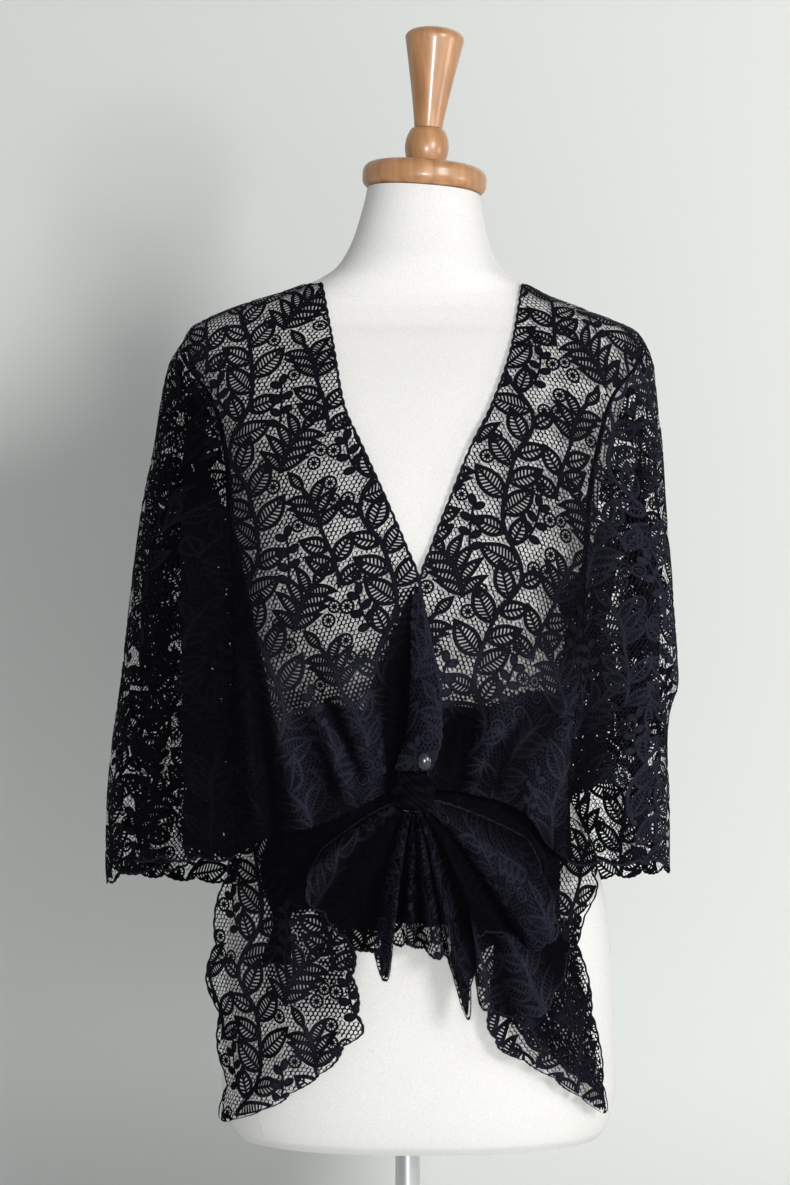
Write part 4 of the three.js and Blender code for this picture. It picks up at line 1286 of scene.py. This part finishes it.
def cords(stretch, edges):
    """The corded thread along each free side, as places on the grid, rises and faces."""
    parts = []
    for side, edge in edges.items():
        if edge.wave is None:
            continue
        place = np.interp(np.arange(0, edge.run[-1], CORD_STEP), edge.run, np.arange(len(edge.run)))
        reach, step = edge.reach(place), between(place, edge.step)
        rings = []
        for inset, _ in CORD_PROFILE:
            out = reach - inset * CORD / step
            rows_first = side in ("top", "bottom")
            far = stretch.last[0 if rows_first else 1] + out if side in ("bottom", "end") else -out
            rings.append(np.stack([far, place] if rows_first else [place, far], 1))
        count = len(place)
        a = 3 * np.arange(count - 1)
        faces = np.concatenate([np.stack([a + c, a + c + 1, a + c + 4, a + c + 3], 1) for c in (0, 1)])
        if side in ("bottom", "start"):
            faces = flipped(faces)
        rise = np.tile([rise for _, rise in CORD_PROFILE], count)
        parts.append((np.stack(rings, 1).reshape(-1, 2), rise, faces))
    return parts


print("deepest lobe in millimetres:", round(float(lobe_wave(np.arange(57)).max()), 1))

# %% [markdown]
# ## Working the lace
# For each stretch: lay out the repeat, fill in the net, drop what falls outside the stretch, draw the rest
# in to its edges, and bend everything onto the worn cloth. A surface-deform modifier could bend finished
# lace too, but it can't close the holes of a gather. So each stretch says how open its net is at a place,
# what share of a second layer lies behind it, and how much light is painted on it. The second layer also
# runs along sewn sides, as a seam does. Where its share is below 1, faces are left out at random, and small
# points of light come through.

# %% Working the lace
# The second layer gets no light from its rise, so the yarn there takes the painted shade colour.
SECOND_LAYER = -0.45  # where the second layer lies, behind the lace
SEAM_WIDE = 3.0  # width of the doubled strip along a sewn side
BORDER = 8.0  # how far the repeat is laid out past a stretch
CELL_MISS = 0.5  # a net cell found no nearer than this lies off the cloth
FACE_MISS = 1.5  # and so does a face
SINK = 0.2  # how far the lace is let into the face of the cloth
PLAIN_NET = 1.8  # a net this open has no leaves in it
FULL_RISE = 0.6  # a thread this high is fully lit
BRIGHTEST = 1.2
RIDGE = 6.0  # height of a fold that changes the light by 1
LEVEL_LIGHT = 0.5
LIGHT_RANGE = (0.04, 1.4)
CORD_LIGHT = 0.7
GROUND = 0.2  # light on the net along the ridges


def into_frame(points):
    return (points + [FORM_OFFSET, 0, STAND_HEIGHT]) * MM


def second_layer(stretch, edges, doubled):
    """A layer behind the lace: along the sewn sides, and on a share of the doubled places."""
    sides = [np.linspace(0, last, 2 * last + 1) for last in stretch.last.astype(int)]
    index = np.stack(np.meshgrid(*sides, indexing="ij"), 2)
    number = np.arange(index[:, :, 0].size).reshape(index.shape[:2])
    index = index.reshape(-1, 2)
    faces = np.stack([number[:-1, :-1], number[1:, :-1], number[1:, 1:], number[:-1, 1:]], 2).reshape(-1, 4)
    middle = stretch.worn(index)[faces].mean(1)
    kept = np.random.default_rng(5).random(len(faces)) < doubled(middle)
    row, column = index[faces].mean(1).T
    inset = {"top": row, "bottom": stretch.last[0] - row, "start": column, "end": stretch.last[1] - column}
    for side, edge in edges.items():
        if edge.wave is None:
            kept |= inset[side] * edge.step.mean() < SEAM_WIDE
    return index, np.full(len(index), SECOND_LAYER), faces[kept]


def laid_out(stretch, shift, low, high, openness):
    """Copies of the repeat's parts on a stretch, apart from those where its net is plain."""
    copies = repeats(low, high)
    index = stretch.find(np.array([shape[0].mean(0) for shape, _ in copies]) - shift)[0]
    open_there = openness(stretch.worn(index))
    return [copy for copy, share in zip(copies, open_there) if share < PLAIN_NET]


def netted(stretch, edges, shift, low, high, openness, outlines):
    """The net that fills a stretch between the outlines of its leaves."""
    centres = cell_centres(low, high, outlines)
    index, miss = stretch.find(centres - shift)
    least, most = limits(stretch, edges, index)
    kept = (miss < CELL_MISS) & (index >= least).all(1) & (index <= most).all(1)
    return net(centres[kept], openness(stretch.worn(index[kept])), outlines)


def drawn_in(stretch, edges, shift, flat, faces):
    """Places of flat points on the grid, drawn in to the edges, and the faces that lie on the stretch."""
    index, miss = stretch.find(flat - shift)
    least, most = limits(stretch, edges, index)
    middle = index[faces].mean(1)
    low_side, high_side = least[faces].min(1), most[faces].max(1)
    kept = (miss[faces].max(1) < FACE_MISS) & (middle >= low_side).all(1) & (middle <= high_side).all(1)
    return np.clip(index, least, most), faces[kept]


def painted_light_of(stretch, index, rise, shade):
    """Painted light on the yarn at each place: lighter by its rise and on the ridges of folds, painted shade
    in their hollows and where the given light is low.
    """
    ridge = sampled(stretch.ridge, np.clip(index, 0, stretch.last))[0][:, 0]
    light = np.clip(LEVEL_LIGHT + ridge / RIDGE, *LIGHT_RANGE) * shade(stretch.worn(index, rise))
    thread = np.where(rise >= CORD_RISE, np.maximum(light, CORD_LIGHT), light)
    return np.clip(rise / FULL_RISE, 0, BRIGHTEST) * thread + GROUND * np.clip(light - LEVEL_LIGHT, 0, 1)


def work_lace(name, edge_waves, openness, doubled, shade, shift):
    stretch = stretches[name]
    edges = edges_of(stretch, edge_waves)
    stretch.area += sum(edge.lobes for edge in edges.values())
    shift = np.array(shift, float)
    low = stretch.flat.min((0, 1)) + shift - BORDER
    high = stretch.flat.max((0, 1)) + shift + BORDER
    copies = laid_out(stretch, shift, low, high, openness)
    outlines = [outline for _, outline in copies if outline is not None]
    ground = netted(stretch, edges, shift, low, high, openness, outlines)
    flat, rise, faces = joined([ground] + [shape for shape, _ in copies])
    index, faces = drawn_in(stretch, edges, shift, flat, faces)
    parts = [(index, rise, faces), second_layer(stretch, edges, doubled)] + cords(stretch, edges)
    index, rise, faces = joined(parts)

    used, faces = np.unique(faces, return_inverse=True)
    faces = faces.reshape(-1, 4)
    index, rise = index[used], rise[used]
    if not stretch.turned:
        faces = flipped(faces)
    points = into_frame(stretch.worn(index, rise - SINK))
    # Painted light for each point: painted highlight on raised threads and ridges, painted shade in hollows.
    painted_light = painted_light_of(stretch, index, rise, shade)
    piece = mesh_from_arrays("lace_" + name, points, faces, painted_light, sampled(stretch.flat, index)[0])
    finish_piece(piece, "lace_" + name, lace_yarn, [name])
    surface = sum(face.area for face in piece.data.polygons) / (stretch.area * MM * MM)
    print("    its surface over its flat area:", round(surface, 2))
    return piece


# %% [markdown]
# ## Folds, gathers and hollows
# Over the bust the lace is open. At the waist it is turned up and bloused, so it lies double there, and
# towards the arms it is crowded into gathers. The deep pleats of the sleeves hold plain net, and a dark
# wedge runs between the left front and its sleeve, dark by closed net, a second layer and painted shade.
# One could paint all that by hand as vertex weights.
# Lines on the cloth are easier to move: each function gives a line or says what lies on either side of it,
# in millimetres across (x) and up (h).

# %% Lines on the cloth
LEFT_WEDGE = table("h x", (200, -74), (367, -111), (482, -136), (544, -162), (603, -166), (632, -186))
IN_WEDGE = 0.4  # a place with more of the wedge than this lies inside it
FRONT_HALF = -18  # a second layer in a sleeve lies only in front of this depth
LEFT_FACE = -79  # the face of a sleeve's pleat lies in front of this depth
RIGHT_FACE = -74
PLEAT_BACK = -6  # the inside of a pleat lies in front of this depth
PLEAT_TOP = 545
PLEAT_SIDE = 168


def x_h(points):
    return points[:, 0], points[:, 2]


def even(share):
    return lambda points: np.full(len(points), share)


def passed(place, start, run):
    """How far a place lies past a start: 0 before it, 1 at the end of a run."""
    return ease((place - start) / run)


def near(place, middle, width):
    return np.exp(-((place - middle) / width) ** 2)


def hollow_edge(h):
    """The left side of the dark hollow beside the lapel."""
    return -44 + 0.4 * (h - 345)


def left_arm_edge(h):
    """The inner side of the dark wedge between the left front and its sleeve."""
    return np.interp(h, LEFT_WEDGE["h"], LEFT_WEDGE["x"])


def arm_hollow(points):
    """How far a place lies inside that wedge, from 0 to 1."""
    x, h = x_h(points)
    return passed(x + 190, 0.01 * (622 - h), 8) * passed(left_arm_edge(h), x, 9)


def right_arm_edge(h):
    """Beyond this line the right front and its sleeve are gathered."""
    return 114 + 0.6 * np.clip(h - 438, 0, 95)


def pleat_fold(h):
    """The outer fold of the left sleeve's deep pleat."""
    return -212 + 0.06 * (h - 230)


def sleeve_net(h):
    """The usual net of a sleeve: wide open, and closer over the shoulder."""
    return mix(1.75, 1.15, passed(h, 530, 30))


def flap_right_border(points):
    """Where the right flap is open: in the lobe at the hip and along the lower edge."""
    x, h = x_h(points)
    lobe = (x > 114) & (h > 186) & (h < 266)
    return lobe | (h - 103 + 0.83 * (x - 60) < 14 + 2 * np.sin(x / 5))


print("wedge at the bust, in millimetres from the middle:", round(float(left_arm_edge(440))))

# %% [markdown]
# ## How open the net is
# On the real shawl the holes are wide where the lace is pulled tight and close up where it is crowded. A
# hole of share 1 is the usual one. Scaling all holes alike would lose the folds, so the share falls towards
# every gather.

# %% How open the net is
def front_left_open(points):
    """Open over the bust, closing up above the doubled cloth, towards the arm and beside the hollow."""
    x, h = x_h(points)
    near_hollow = passed(x + 16, hollow_edge(h), 16) * (h < 446)
    above_fold = mix(0.7, 1.1, passed(h, 350, 40)) * (1 - 0.4 * near(h, 354, 14))
    bust = above_fold * mix(0.86, 1, passed(x, -110, 50))
    return bust * (1 - 0.7 * arm_hollow(points)) * (1 - 0.6 * near_hollow)


def front_right_open(points):
    x, h = x_h(points)
    near_arm = passed(x - right_arm_edge(h), -6, 10)
    return mix(0.7, 1.15, passed(h, 350, 14)) * (1 - 0.4 * near(h, 360, 9)) * (1 - 0.7 * near_arm)


def sleeve_left_open(points):
    """Closed in the wedge, plain net inside the deep pleat, open along the outer strip and behind."""
    x, h = x_h(points)
    face = np.where(arm_hollow(points) > IN_WEDGE, 0.5, np.where(h < 520, PLAIN_NET, sleeve_net(h)))
    pleat = (points[:, 1] < PLEAT_BACK) & (x > pleat_fold(h) + 6) & (h < PLEAT_TOP)
    return np.where(points[:, 1] < LEFT_FACE, face, np.where(pleat, PLAIN_NET, sleeve_net(h)))


def sleeve_right_open(points):
    x, h = x_h(points)
    face = np.where(x < PLEAT_SIDE, np.where(h > 292, 0.8, PLAIN_NET), sleeve_net(h))
    pleat = (points[:, 1] < PLEAT_BACK) & (x < PLEAT_SIDE) & (h < PLEAT_TOP)
    return np.where(points[:, 1] < RIGHT_FACE, face, np.where(pleat, PLAIN_NET, sleeve_net(h)))


def flap_left_open(points):
    x, h = x_h(points)
    return mix(1.15, 0.45, passed(x, -124, 12) * passed(h, 104, 30))


def flap_right_open(points):
    return np.where(flap_right_border(points), 1.35, 0.8)


print("net at the left bust:", round(float(front_left_open(np.array([[-60.0, -110.0, 440.0]]))[0]), 2))

# %% [markdown]
# ## Where the cloth is doubled
# Behind the turned-up edge of the fronts, in the tails and under the flaps more cloth lies behind the lace,
# and no light comes through. In a gather many folds lie behind each other and leave only small points of
# light. Every fold could be modelled, but one plain layer with places left out looks the same and needs far
# fewer faces.

# %% Where the cloth is doubled
def front_left_doubled(points):
    x, h = x_h(points)
    hollow = (h < 440) & (x > hollow_edge(h))
    turned_up = h < 350 + 7 * np.sin(x / 15) + 0.10 * (x + 60)
    return hollow | turned_up | (arm_hollow(points) > IN_WEDGE)


def front_right_doubled(points):
    x, h = x_h(points)
    turned_up = h < 353 + 3 * np.sin(x / 11) + 0.14 * np.maximum(x - 20, 0)
    return np.where(turned_up, 1, 0.95 * (x > right_arm_edge(h) + 3 * np.sin(h / 9)) * (h < 590))


def sleeve_left_doubled(points):
    x, h = x_h(points)
    strip = 0.3 * ((points[:, 1] < LEFT_FACE) | (h > 470 + 8 * np.sin(x / 6)))
    share = np.where(arm_hollow(points) > IN_WEDGE, 0.97, strip)
    return share * (h < 600) * (points[:, 1] < FRONT_HALF) * (h > 246 - 0.25 * (x + 190))


def sleeve_right_doubled(points):
    x, h = x_h(points)
    share = np.where(x < 154 + 4 * np.sin(h / 14), 0.92, 0.17)
    low = np.where(x < 164, 292 - 0.9 * np.maximum(138 - x, 0), 258)
    return share * (points[:, 1] < FRONT_HALF) * (x > right_arm_edge(h)) * (h < 640) * (h > low)


def flap_left_doubled(points):
    x, h = x_h(points)
    low = np.where(x < -98, 150, 190 + 0.35 * (x + 100))
    return (x > -118 + 5 * np.sin(h / 13)) & (h > low) & (h < np.where(x < -40, 296, 318))


def flap_right_doubled(points):
    x, h = x_h(points)
    upper = (h > 178 + 6 * np.sin(x / 7)) & (x < 112)
    return np.where(flap_right_border(points), 0, np.where(upper, 1, 0.84))


def tail_doubled(low, beside):
    """A tail lies double near the knot, above a height, and in its folds beyond a line."""
    return lambda points: (points[:, 2] > low) | (points[:, 0] > beside)


print("doubled at the left waist:", bool(front_left_doubled(np.array([[-60.0, -110.0, 300.0]]))[0]))

# %% [markdown]
# ## The twelve stretches
# Each stretch now gets its edges, its net, its second layer, its painted light and a place on the repeat of
# its own, so that neighbours don't show the same leaves side by side. The painted light only helps what the
# lamps do: yarn this black shows hardly any shade, so hollows that lie under other cloth are painted dark.

# %% The twelve stretches
def front_light(points):
    """Light on a front: more on the blouse below the bust than on the chest, hardly any in the left wedge."""
    return mix(1.0, 0.36, passed(points[:, 2], 370, 60)) * (1 - 0.88 * arm_hollow(points))


def under_waist(points):
    """Light on a flap, which the cloth above it keeps dark near the waist."""
    return 0.6 - 0.53 * passed(points[:, 2], 175, 45)


NECK_EDGE = {"end": picot_wave}
HEM_EDGE = {"bottom": scallop_wave}
BACK_EDGE = {"top": picot_wave, "bottom": scallop_wave}
TAIL_EDGE = {"bottom": scallop_wave, "start": picot_wave}
FLAP_EDGE = {"start": lobe_wave, "end": scallop_wave, "bottom": picot_wave}
# The light column is painted light: the left sleeve is painted in shade, the lapel painted lighter.
LACE = {  # edges, openness, share doubled, light and place on the repeat
    "front_left": (NECK_EDGE, front_left_open, front_left_doubled, front_light, (0, 0)),
    "front_right": (NECK_EDGE, front_right_open, front_right_doubled, front_light, (31, 47)),
    "sleeve_left": (HEM_EDGE, sleeve_left_open, sleeve_left_doubled, even(0.2), (12, 25)),
    "sleeve_right": (HEM_EDGE, sleeve_right_open, sleeve_right_doubled, even(1.0), (60, 80)),
    "back": (BACK_EDGE, even(1.2), even(0), even(0.6), (0, 30)),
    "lapel": (NECK_EDGE, even(0.7), even(1), even(1.9), (5, 9)),
    "tail_left": (TAIL_EDGE, even(0.8), tail_doubled(181, -28), even(0.6), (20, 10)),
    "tail_middle": (TAIL_EDGE, even(0.9), tail_doubled(185, 26), even(0.6), (45, 70)),
    "tail_right": (TAIL_EDGE, even(0.6), even(1), even(1.0), (70, 40)),
    "tail_under": (TAIL_EDGE, even(0.8), tail_doubled(168, 60), even(1.0), (33, 90)),
    "flap_left": (FLAP_EDGE, flap_left_open, flap_left_doubled, under_waist, (50, 15)),
    "flap_right": (FLAP_EDGE, flap_right_open, flap_right_doubled, under_waist, (10, 60)),
}
lace = {name: work_lace(name, *how) for name, how in LACE.items()}
triangles = [len(piece.data.loops) - 2 * len(piece.data.polygons) for piece in lace.values()]
print("triangles of lace:", sum(triangles))

# %% [markdown]
# ## What was cut
# A maker cuts cloth flat. Each stretch's flat width and length lie in the flat places of its grid, and its
# worn grid with the lobes along its free edges gives its area; this cell only goes through the stretches.

# %% Sheets
for name, piece in lace.items():
    stretch = stretches[name]

# %% [markdown]
# ## Knot
# The two front corners are tied in a tight knot of gathered lace. Sculpting would suit it, but is hard to
# write down as code. So three rings, each tilted its own way, and a ball inside them are joined, remeshed
# into one skin and smoothed, and waves along the skin then stand for the creases of the gathered cloth,
# with their crests painted a little lighter and the rest painted shade.

# %% Knot
TURN_RADIUS = 0.0094
TURN_THICKNESS = 0.0062
CORE_RADIUS = 0.0105
SKIN_CELL = 0.0007
KNOT_TURNS = [
    {"move": (-0.002, 0, 0.0), "tilt": 62, "roll": 24},
    {"move": (0.002, 0, 0.0), "tilt": 68, "roll": -30},
    {"move": (0.0, 0, -0.002), "tilt": 20, "roll": 8},
]
CREASE_DEPTH = 0.03
KNOT_SHADE = (0.05, 0.07)  # light between the creases, and how much a crease adds

knot_centre = Vector(into_frame(np.array([KNOT["x"], KNOT["y"], KNOT["h"]])))
turns = []
for turn in KNOT_TURNS:
    clear_selection()
    bpy.ops.mesh.primitive_torus_add(
        major_segments=48, minor_segments=20, major_radius=TURN_RADIUS, minor_radius=TURN_THICKNESS,
        location=knot_centre + Vector(turn["move"]),
        rotation=(math.radians(turn["tilt"]), math.radians(turn["roll"]), 0),
    )
    turns.append(bpy.context.object)
clear_selection()
bpy.ops.mesh.primitive_uv_sphere_add(segments=32, ring_count=20, radius=CORE_RADIUS, location=knot_centre)
turns.append(bpy.context.object)
clear_selection()
for turn in turns:
    turn.select_set(True)
bpy.context.view_layer.objects.active = turns[0]
bpy.ops.object.join()
knot = bpy.context.object
settle(knot)
remesh = knot.modifiers.new("one_skin", "REMESH")
remesh.mode = "VOXEL"
remesh.voxel_size = SKIN_CELL
bpy.ops.object.modifier_apply(modifier=remesh.name)
soften = knot.modifiers.new("soften", "SMOOTH")
soften.iterations = 3
bpy.ops.object.modifier_apply(modifier=soften.name)
bpy.ops.object.shade_smooth()
spots = np.empty(3 * len(knot.data.vertices), np.float32)
knot.data.vertices.foreach_get("co", spots)
spots = spots.reshape(-1, 3) - np.array(knot_centre)
across, up = spots[:, 0], spots[:, 2]
creases = np.sin(900 * up + 500 * across + 3 * np.sin(260 * across + 140 * up))
spots *= (1 + CREASE_DEPTH * creases)[:, None]
knot.data.vertices.foreach_set("co", (spots + np.array(knot_centre)).astype(np.float32).ravel())
# The crests of the creases are painted a little lighter and the rest is painted shade.
add_painted_light(knot.data, np.clip(KNOT_SHADE[0] + KNOT_SHADE[1] * creases, 0, 1))
finish_piece(knot, "knot_wraps", lace_yarn, ["knot"])

# %% [markdown]
# ## Button
# One small round button of dark horn sits at the lower end of the lapel, beside the knot. It could be
# turned from an outline, but it is a plain dome, so a ball that is flattened from front to back and made a
# little taller is enough. It lies on the lapel, halfway between the lapel's lowest row and the next.

# %% Button
BUTTON = {"radius": 5.5, "deep": 0.6, "tall": 1.25, "across": 0.75}
LAPEL_ROWS = 9  # rows of the lapel's solid
lowest_row = LAPEL["h"][0]
next_row = lowest_row + (LAPEL["h"][-1] - lowest_row) / LAPEL_ROWS
low_end, next_end = (lapel_row(h, np.array([BUTTON["across"]]))[0] for h in (lowest_row, next_row))
button_place = 0.5 * (low_end + next_end) - [0, CLOTH + PIECE_GAP + BUTTON["deep"] * BUTTON["radius"], 0]
clear_selection()
bpy.ops.mesh.primitive_uv_sphere_add(segments=48, ring_count=24, radius=BUTTON["radius"] * MM)
button = bpy.context.object
button.rotation_euler = (math.radians(90), 0, 0)
settle(button)
button.scale = (1, BUTTON["deep"], BUTTON["tall"])
button.location = into_frame(button_place)
settle(button)
bpy.ops.object.shade_smooth()
finish_piece(button, "button", dark_horn, ["button"])

# %% [markdown]
# ## The form
# The form is a smooth jersey cover over a torso with no limbs, a soft bust and a neck that leans a little.
# It could be lofted from curves, but a circle that is extruded ring by ring gives an even mesh, and each
# ring then takes its section from the same tables that the cloth rests on.

# %% Form
BUST = {"height": 440, "spread": 60, "width": 42, "rise": 55, "depth": 3}
NECK = {"lean": math.radians(4.2), "from": 705, "top": 770}
FORM_SIDES = 160
FORM_RINGS = [(0, 8, 4), (8, 640, 90), (640, 705, 40), (705, 770, 16)]  # from, to, how many
form_heights = [np.linspace(low, high, count)[1:] for low, high, count in FORM_RINGS]
form_heights = np.concatenate([[0.0]] + form_heights)


def form_point(h, angle):
    """A point of the form; angles run from its right side, and -90 degrees is the centre front."""
    across = form_at["half"](h) * np.sign(np.cos(angle)) * np.abs(np.cos(angle)) ** (2 / FORM_SQUARENESS)
    ahead = np.sin(angle) < 0
    depth = np.where(ahead, form_at["front"](h), form_at["back"](h))
    y = depth * np.sign(np.sin(angle)) * np.abs(np.sin(angle)) ** (2 / FORM_SQUARENESS)
    aside = (np.abs(across) - BUST["spread"]) / BUST["width"]
    above = (h - BUST["height"]) / BUST["rise"]
    y = np.where(ahead, y - BUST["depth"] * np.exp(-aside ** 2 - above ** 2), y)
    lean = NECK["lean"] * np.clip((h - NECK["from"]) / (NECK["top"] - NECK["from"]), 0, 1)
    return np.stack([form_at["shift"](h) + across, y, h - across * np.tan(lean)], -1)


clear_selection()
bpy.ops.mesh.primitive_circle_add(vertices=FORM_SIDES, radius=1, fill_type="NGON")
form = bpy.context.object
bpy.ops.object.mode_set(mode="EDIT")
bpy.ops.mesh.select_all(action="SELECT")
for _ in form_heights[1:]:
    bpy.ops.mesh.extrude_region_move(TRANSFORM_OT_translate={"value": (0, 0, 1)})
bpy.ops.mesh.select_all(action="SELECT")
bpy.ops.mesh.normals_make_consistent(inside=False)
bpy.ops.object.mode_set(mode="OBJECT")
places = np.empty(3 * len(form.data.vertices), np.float32)
form.data.vertices.foreach_get("co", places)
places = places.reshape(-1, 3).astype(float)
rings = np.round(places[:, 2]).astype(int)
shaped = into_frame(form_point(form_heights[rings], np.arctan2(places[:, 1], places[:, 0])))
form.data.vertices.foreach_set("co", shaped.astype(np.float32).ravel())
form.data.update()
bpy.ops.object.shade_smooth_by_angle(angle=math.radians(40))
finish_piece(form, "form_cover", form_cover, ["form"])

# %% [markdown]
# ## Seams of the cover
# The cover is sewn from panels: two seams run down the front, two beside the back and one down its middle,
# and one goes round the foot of the neck. A groove could be cut into the mesh, but the form is smooth and
# evenly spaced. So each seam is a narrow welt laid on the form, with a fine crease along its middle.

# %% Seams
WELT = [(-1.5, -0.15), (-0.55, 0.3), (0, -0.05), (0.55, 0.3), (1.5, -0.15)]
PANEL_SEAM = table(
    "h part", (3, 0.80), (108, 0.80), (300, 0.62), (440, 0.47), (560, 0.5), (640, 0.52), (666, 0.6)
)
NECK_SEAM = {"height": 690, "swing": 7, "tilt": 5}
SEAM_POINTS = 160
NECK_POINTS = 140
LOOK_ASIDE = 0.002  # a small turn and a small rise, to find which way is outward
LOOK_UP = 0.2
seam_part = smooth(PANEL_SEAM, "h", "part")


def welt(h, angle):
    """A narrow strip along a line on the form, given as heights and angles."""
    line = form_point(h, angle)
    outward = np.cross(form_point(h, angle + LOOK_ASIDE) - line, form_point(h + LOOK_UP, angle) - line)
    outward /= np.linalg.norm(outward, axis=1)[:, None]
    way = np.gradient(line, axis=0)
    aside = np.cross(way, outward)
    aside /= np.linalg.norm(aside, axis=1)[:, None]
    points = np.stack([line + aside * side + outward * rise for side, rise in WELT], 1).reshape(-1, 3)
    wide = len(WELT)
    first = wide * np.arange(len(line) - 1)
    faces = []
    for corner in range(wide - 1):
        near_side = first + corner
        faces.append(np.stack([near_side, near_side + 1, near_side + 1 + wide, near_side + wide], 1))
    return points, np.zeros(len(points)), np.concatenate(faces)


foot, top = PANEL_SEAM["h"][0], PANEL_SEAM["h"][-1]
seam_heights = np.linspace(foot, top, SEAM_POINTS)
seam_angle = np.arccos(seam_part(seam_heights) ** (FORM_SQUARENESS / 2))
centre_heights = np.linspace(foot, NECK_SEAM["height"], SEAM_POINTS)
round_neck = np.linspace(-np.pi, np.pi, NECK_POINTS)
neck_heights = NECK_SEAM["height"] + NECK_SEAM["swing"] * np.cos(2 * round_neck)
neck_heights = neck_heights + NECK_SEAM["tilt"] * np.sin(round_neck)
panel_angles = (-seam_angle, seam_angle - np.pi, seam_angle, np.pi - seam_angle)
welts = [welt(seam_heights, angle) for angle in panel_angles]
welts.append(welt(centre_heights, np.full(SEAM_POINTS, 0.5 * np.pi)))
welts.append(welt(neck_heights, round_neck))
points, _, faces = joined(welts)
seams = mesh_from_arrays("form_seams", into_frame(points), faces)
finish_piece(seams, "form_seams", form_cover, [])

# %% [markdown]
# ## Turned wood
# The cap, the bead and the finial are turned on a lathe. A screw modifier would turn an outline too; by
# hand, one vertex is extruded along half of the outline, and the outline is spun round. Spinning can leave
# faces inside out, so doubles are merged and normals made consistent. The pieces stand on the neck, and
# lean with it.

# %% Turned wood
CAP = {"radius": 51, "height": 21, "edge": 8}
BEAD = {"radius": 18, "height": 31, "neck": 12}
FINIAL = {"foot": 11.5, "radius": 24.2, "height": 82, "dome": 9}


def quarter(radius, height, size, start, steps=8):
    turn = math.radians(start) + np.linspace(0, 0.5 * np.pi, steps)
    return list(zip(radius + size * np.cos(turn), height + size * np.sin(turn)))


def turned(profile, sides=96):
    """A piece turned on a lathe, from radii and heights in millimetres that start and end on its axis."""
    clear_selection()
    bpy.ops.mesh.primitive_plane_add(size=MM)
    bpy.ops.object.mode_set(mode="EDIT")
    bpy.ops.mesh.select_mode(type="VERT")
    bpy.ops.mesh.select_all(action="SELECT")
    bpy.ops.mesh.merge(type="CENTER")
    here = (0.0, 0.0)
    for radius, height in profile:
        step = ((radius - here[0]) * MM, 0, (height - here[1]) * MM)
        bpy.ops.mesh.extrude_vertices_move(TRANSFORM_OT_translate={"value": step})
        here = (radius, height)
    bpy.ops.mesh.select_all(action="SELECT")
    bpy.ops.mesh.spin(steps=sides, angle=2 * math.pi, center=(0, 0, 0), axis=(0, 0, 1))
    bpy.ops.mesh.select_all(action="SELECT")
    bpy.ops.mesh.remove_doubles(threshold=0.00001)
    bpy.ops.mesh.normals_make_consistent(inside=False)
    bpy.ops.object.mode_set(mode="OBJECT")
    bpy.ops.object.shade_smooth_by_angle(angle=math.radians(40))
    return bpy.context.object


t = np.linspace(0, 1, 24)
flat_part = CAP["radius"] - CAP["edge"]
cap_profile = quarter(flat_part, CAP["edge"], CAP["edge"], -90)
cap_profile += quarter(flat_part, CAP["height"] - CAP["edge"], CAP["edge"], 0)
cap_profile += [(0, CAP["height"])]
bead_profile = list(zip(mix(BEAD["neck"], BEAD["radius"], np.sin(np.pi * t) ** 0.6), BEAD["height"] * t))
bead_profile += [(0, BEAD["height"])]
shaft = FINIAL["height"] - FINIAL["dome"]
finial_profile = list(zip(mix(FINIAL["foot"], FINIAL["radius"], t ** 1.15), shaft * t))
dome = np.linspace(0, 0.5 * np.pi, 14)[1:]
dome_radii = FINIAL["radius"] * np.abs(np.cos(dome)) ** 0.7
finial_profile += list(zip(dome_radii, shaft + FINIAL["dome"] * np.sin(dome)))
finial_profile[-1] = (0, FINIAL["height"])

neck_middle = float(form_at["shift"](NECK["top"]))
neck_top = Vector(into_frame(np.array([neck_middle, 0, NECK["top"] + PIECE_GAP])))
up = Vector((math.sin(NECK["lean"]), 0, math.cos(NECK["lean"])))
above = 0.0
for name, profile in (("cap", cap_profile), ("bead", bead_profile), ("finial", finial_profile)):
    piece = turned(profile)
    piece.rotation_euler = (0, NECK["lean"], 0)
    piece.location = neck_top + above * MM * up
    settle(piece)
    finish_piece(piece, name + "_turned", turned_wood, [name])
    above += profile[-1][1] + PIECE_GAP

# %% [markdown]
# ## Stand
# A steel tube carries the form, on a round steel plate. Both are cylinders. A bevel modifier that goes by
# angle would round the lower edge too, so the top edge alone is picked by height and beveled in edit mode.

# %% Stand
BASE = {"radius": 150, "height": 16, "edge": 5, "sides": 128}
POLE = {"radius": 10, "edge": 0.8, "sides": 96}


def cylinder(radius, height, foot, edge, sides):
    """An upright cylinder whose top edge is rounded."""
    clear_selection()
    bpy.ops.mesh.primitive_cylinder_add(
        vertices=sides, radius=radius * MM, depth=height * MM, location=(0, 0, (foot + 0.5 * height) * MM),
    )
    piece = bpy.context.object
    select_edges(piece, lambda end: end.z > 0)
    bpy.ops.mesh.bevel(offset=edge * MM, segments=6)
    bpy.ops.object.mode_set(mode="OBJECT")
    bpy.ops.object.shade_smooth_by_angle(angle=math.radians(40))
    settle(piece)
    return piece


base = cylinder(BASE["radius"], BASE["height"], 0, BASE["edge"], BASE["sides"])
finish_piece(base, "base_plate", brushed_steel, ["base"])
pole_height = STAND_HEIGHT - BASE["height"] - 2 * PIECE_GAP
pole = cylinder(POLE["radius"], pole_height, BASE["height"] + PIECE_GAP, POLE["edge"], POLE["sides"])
finish_piece(pole, "pole_tube", brushed_steel, ["pole"])
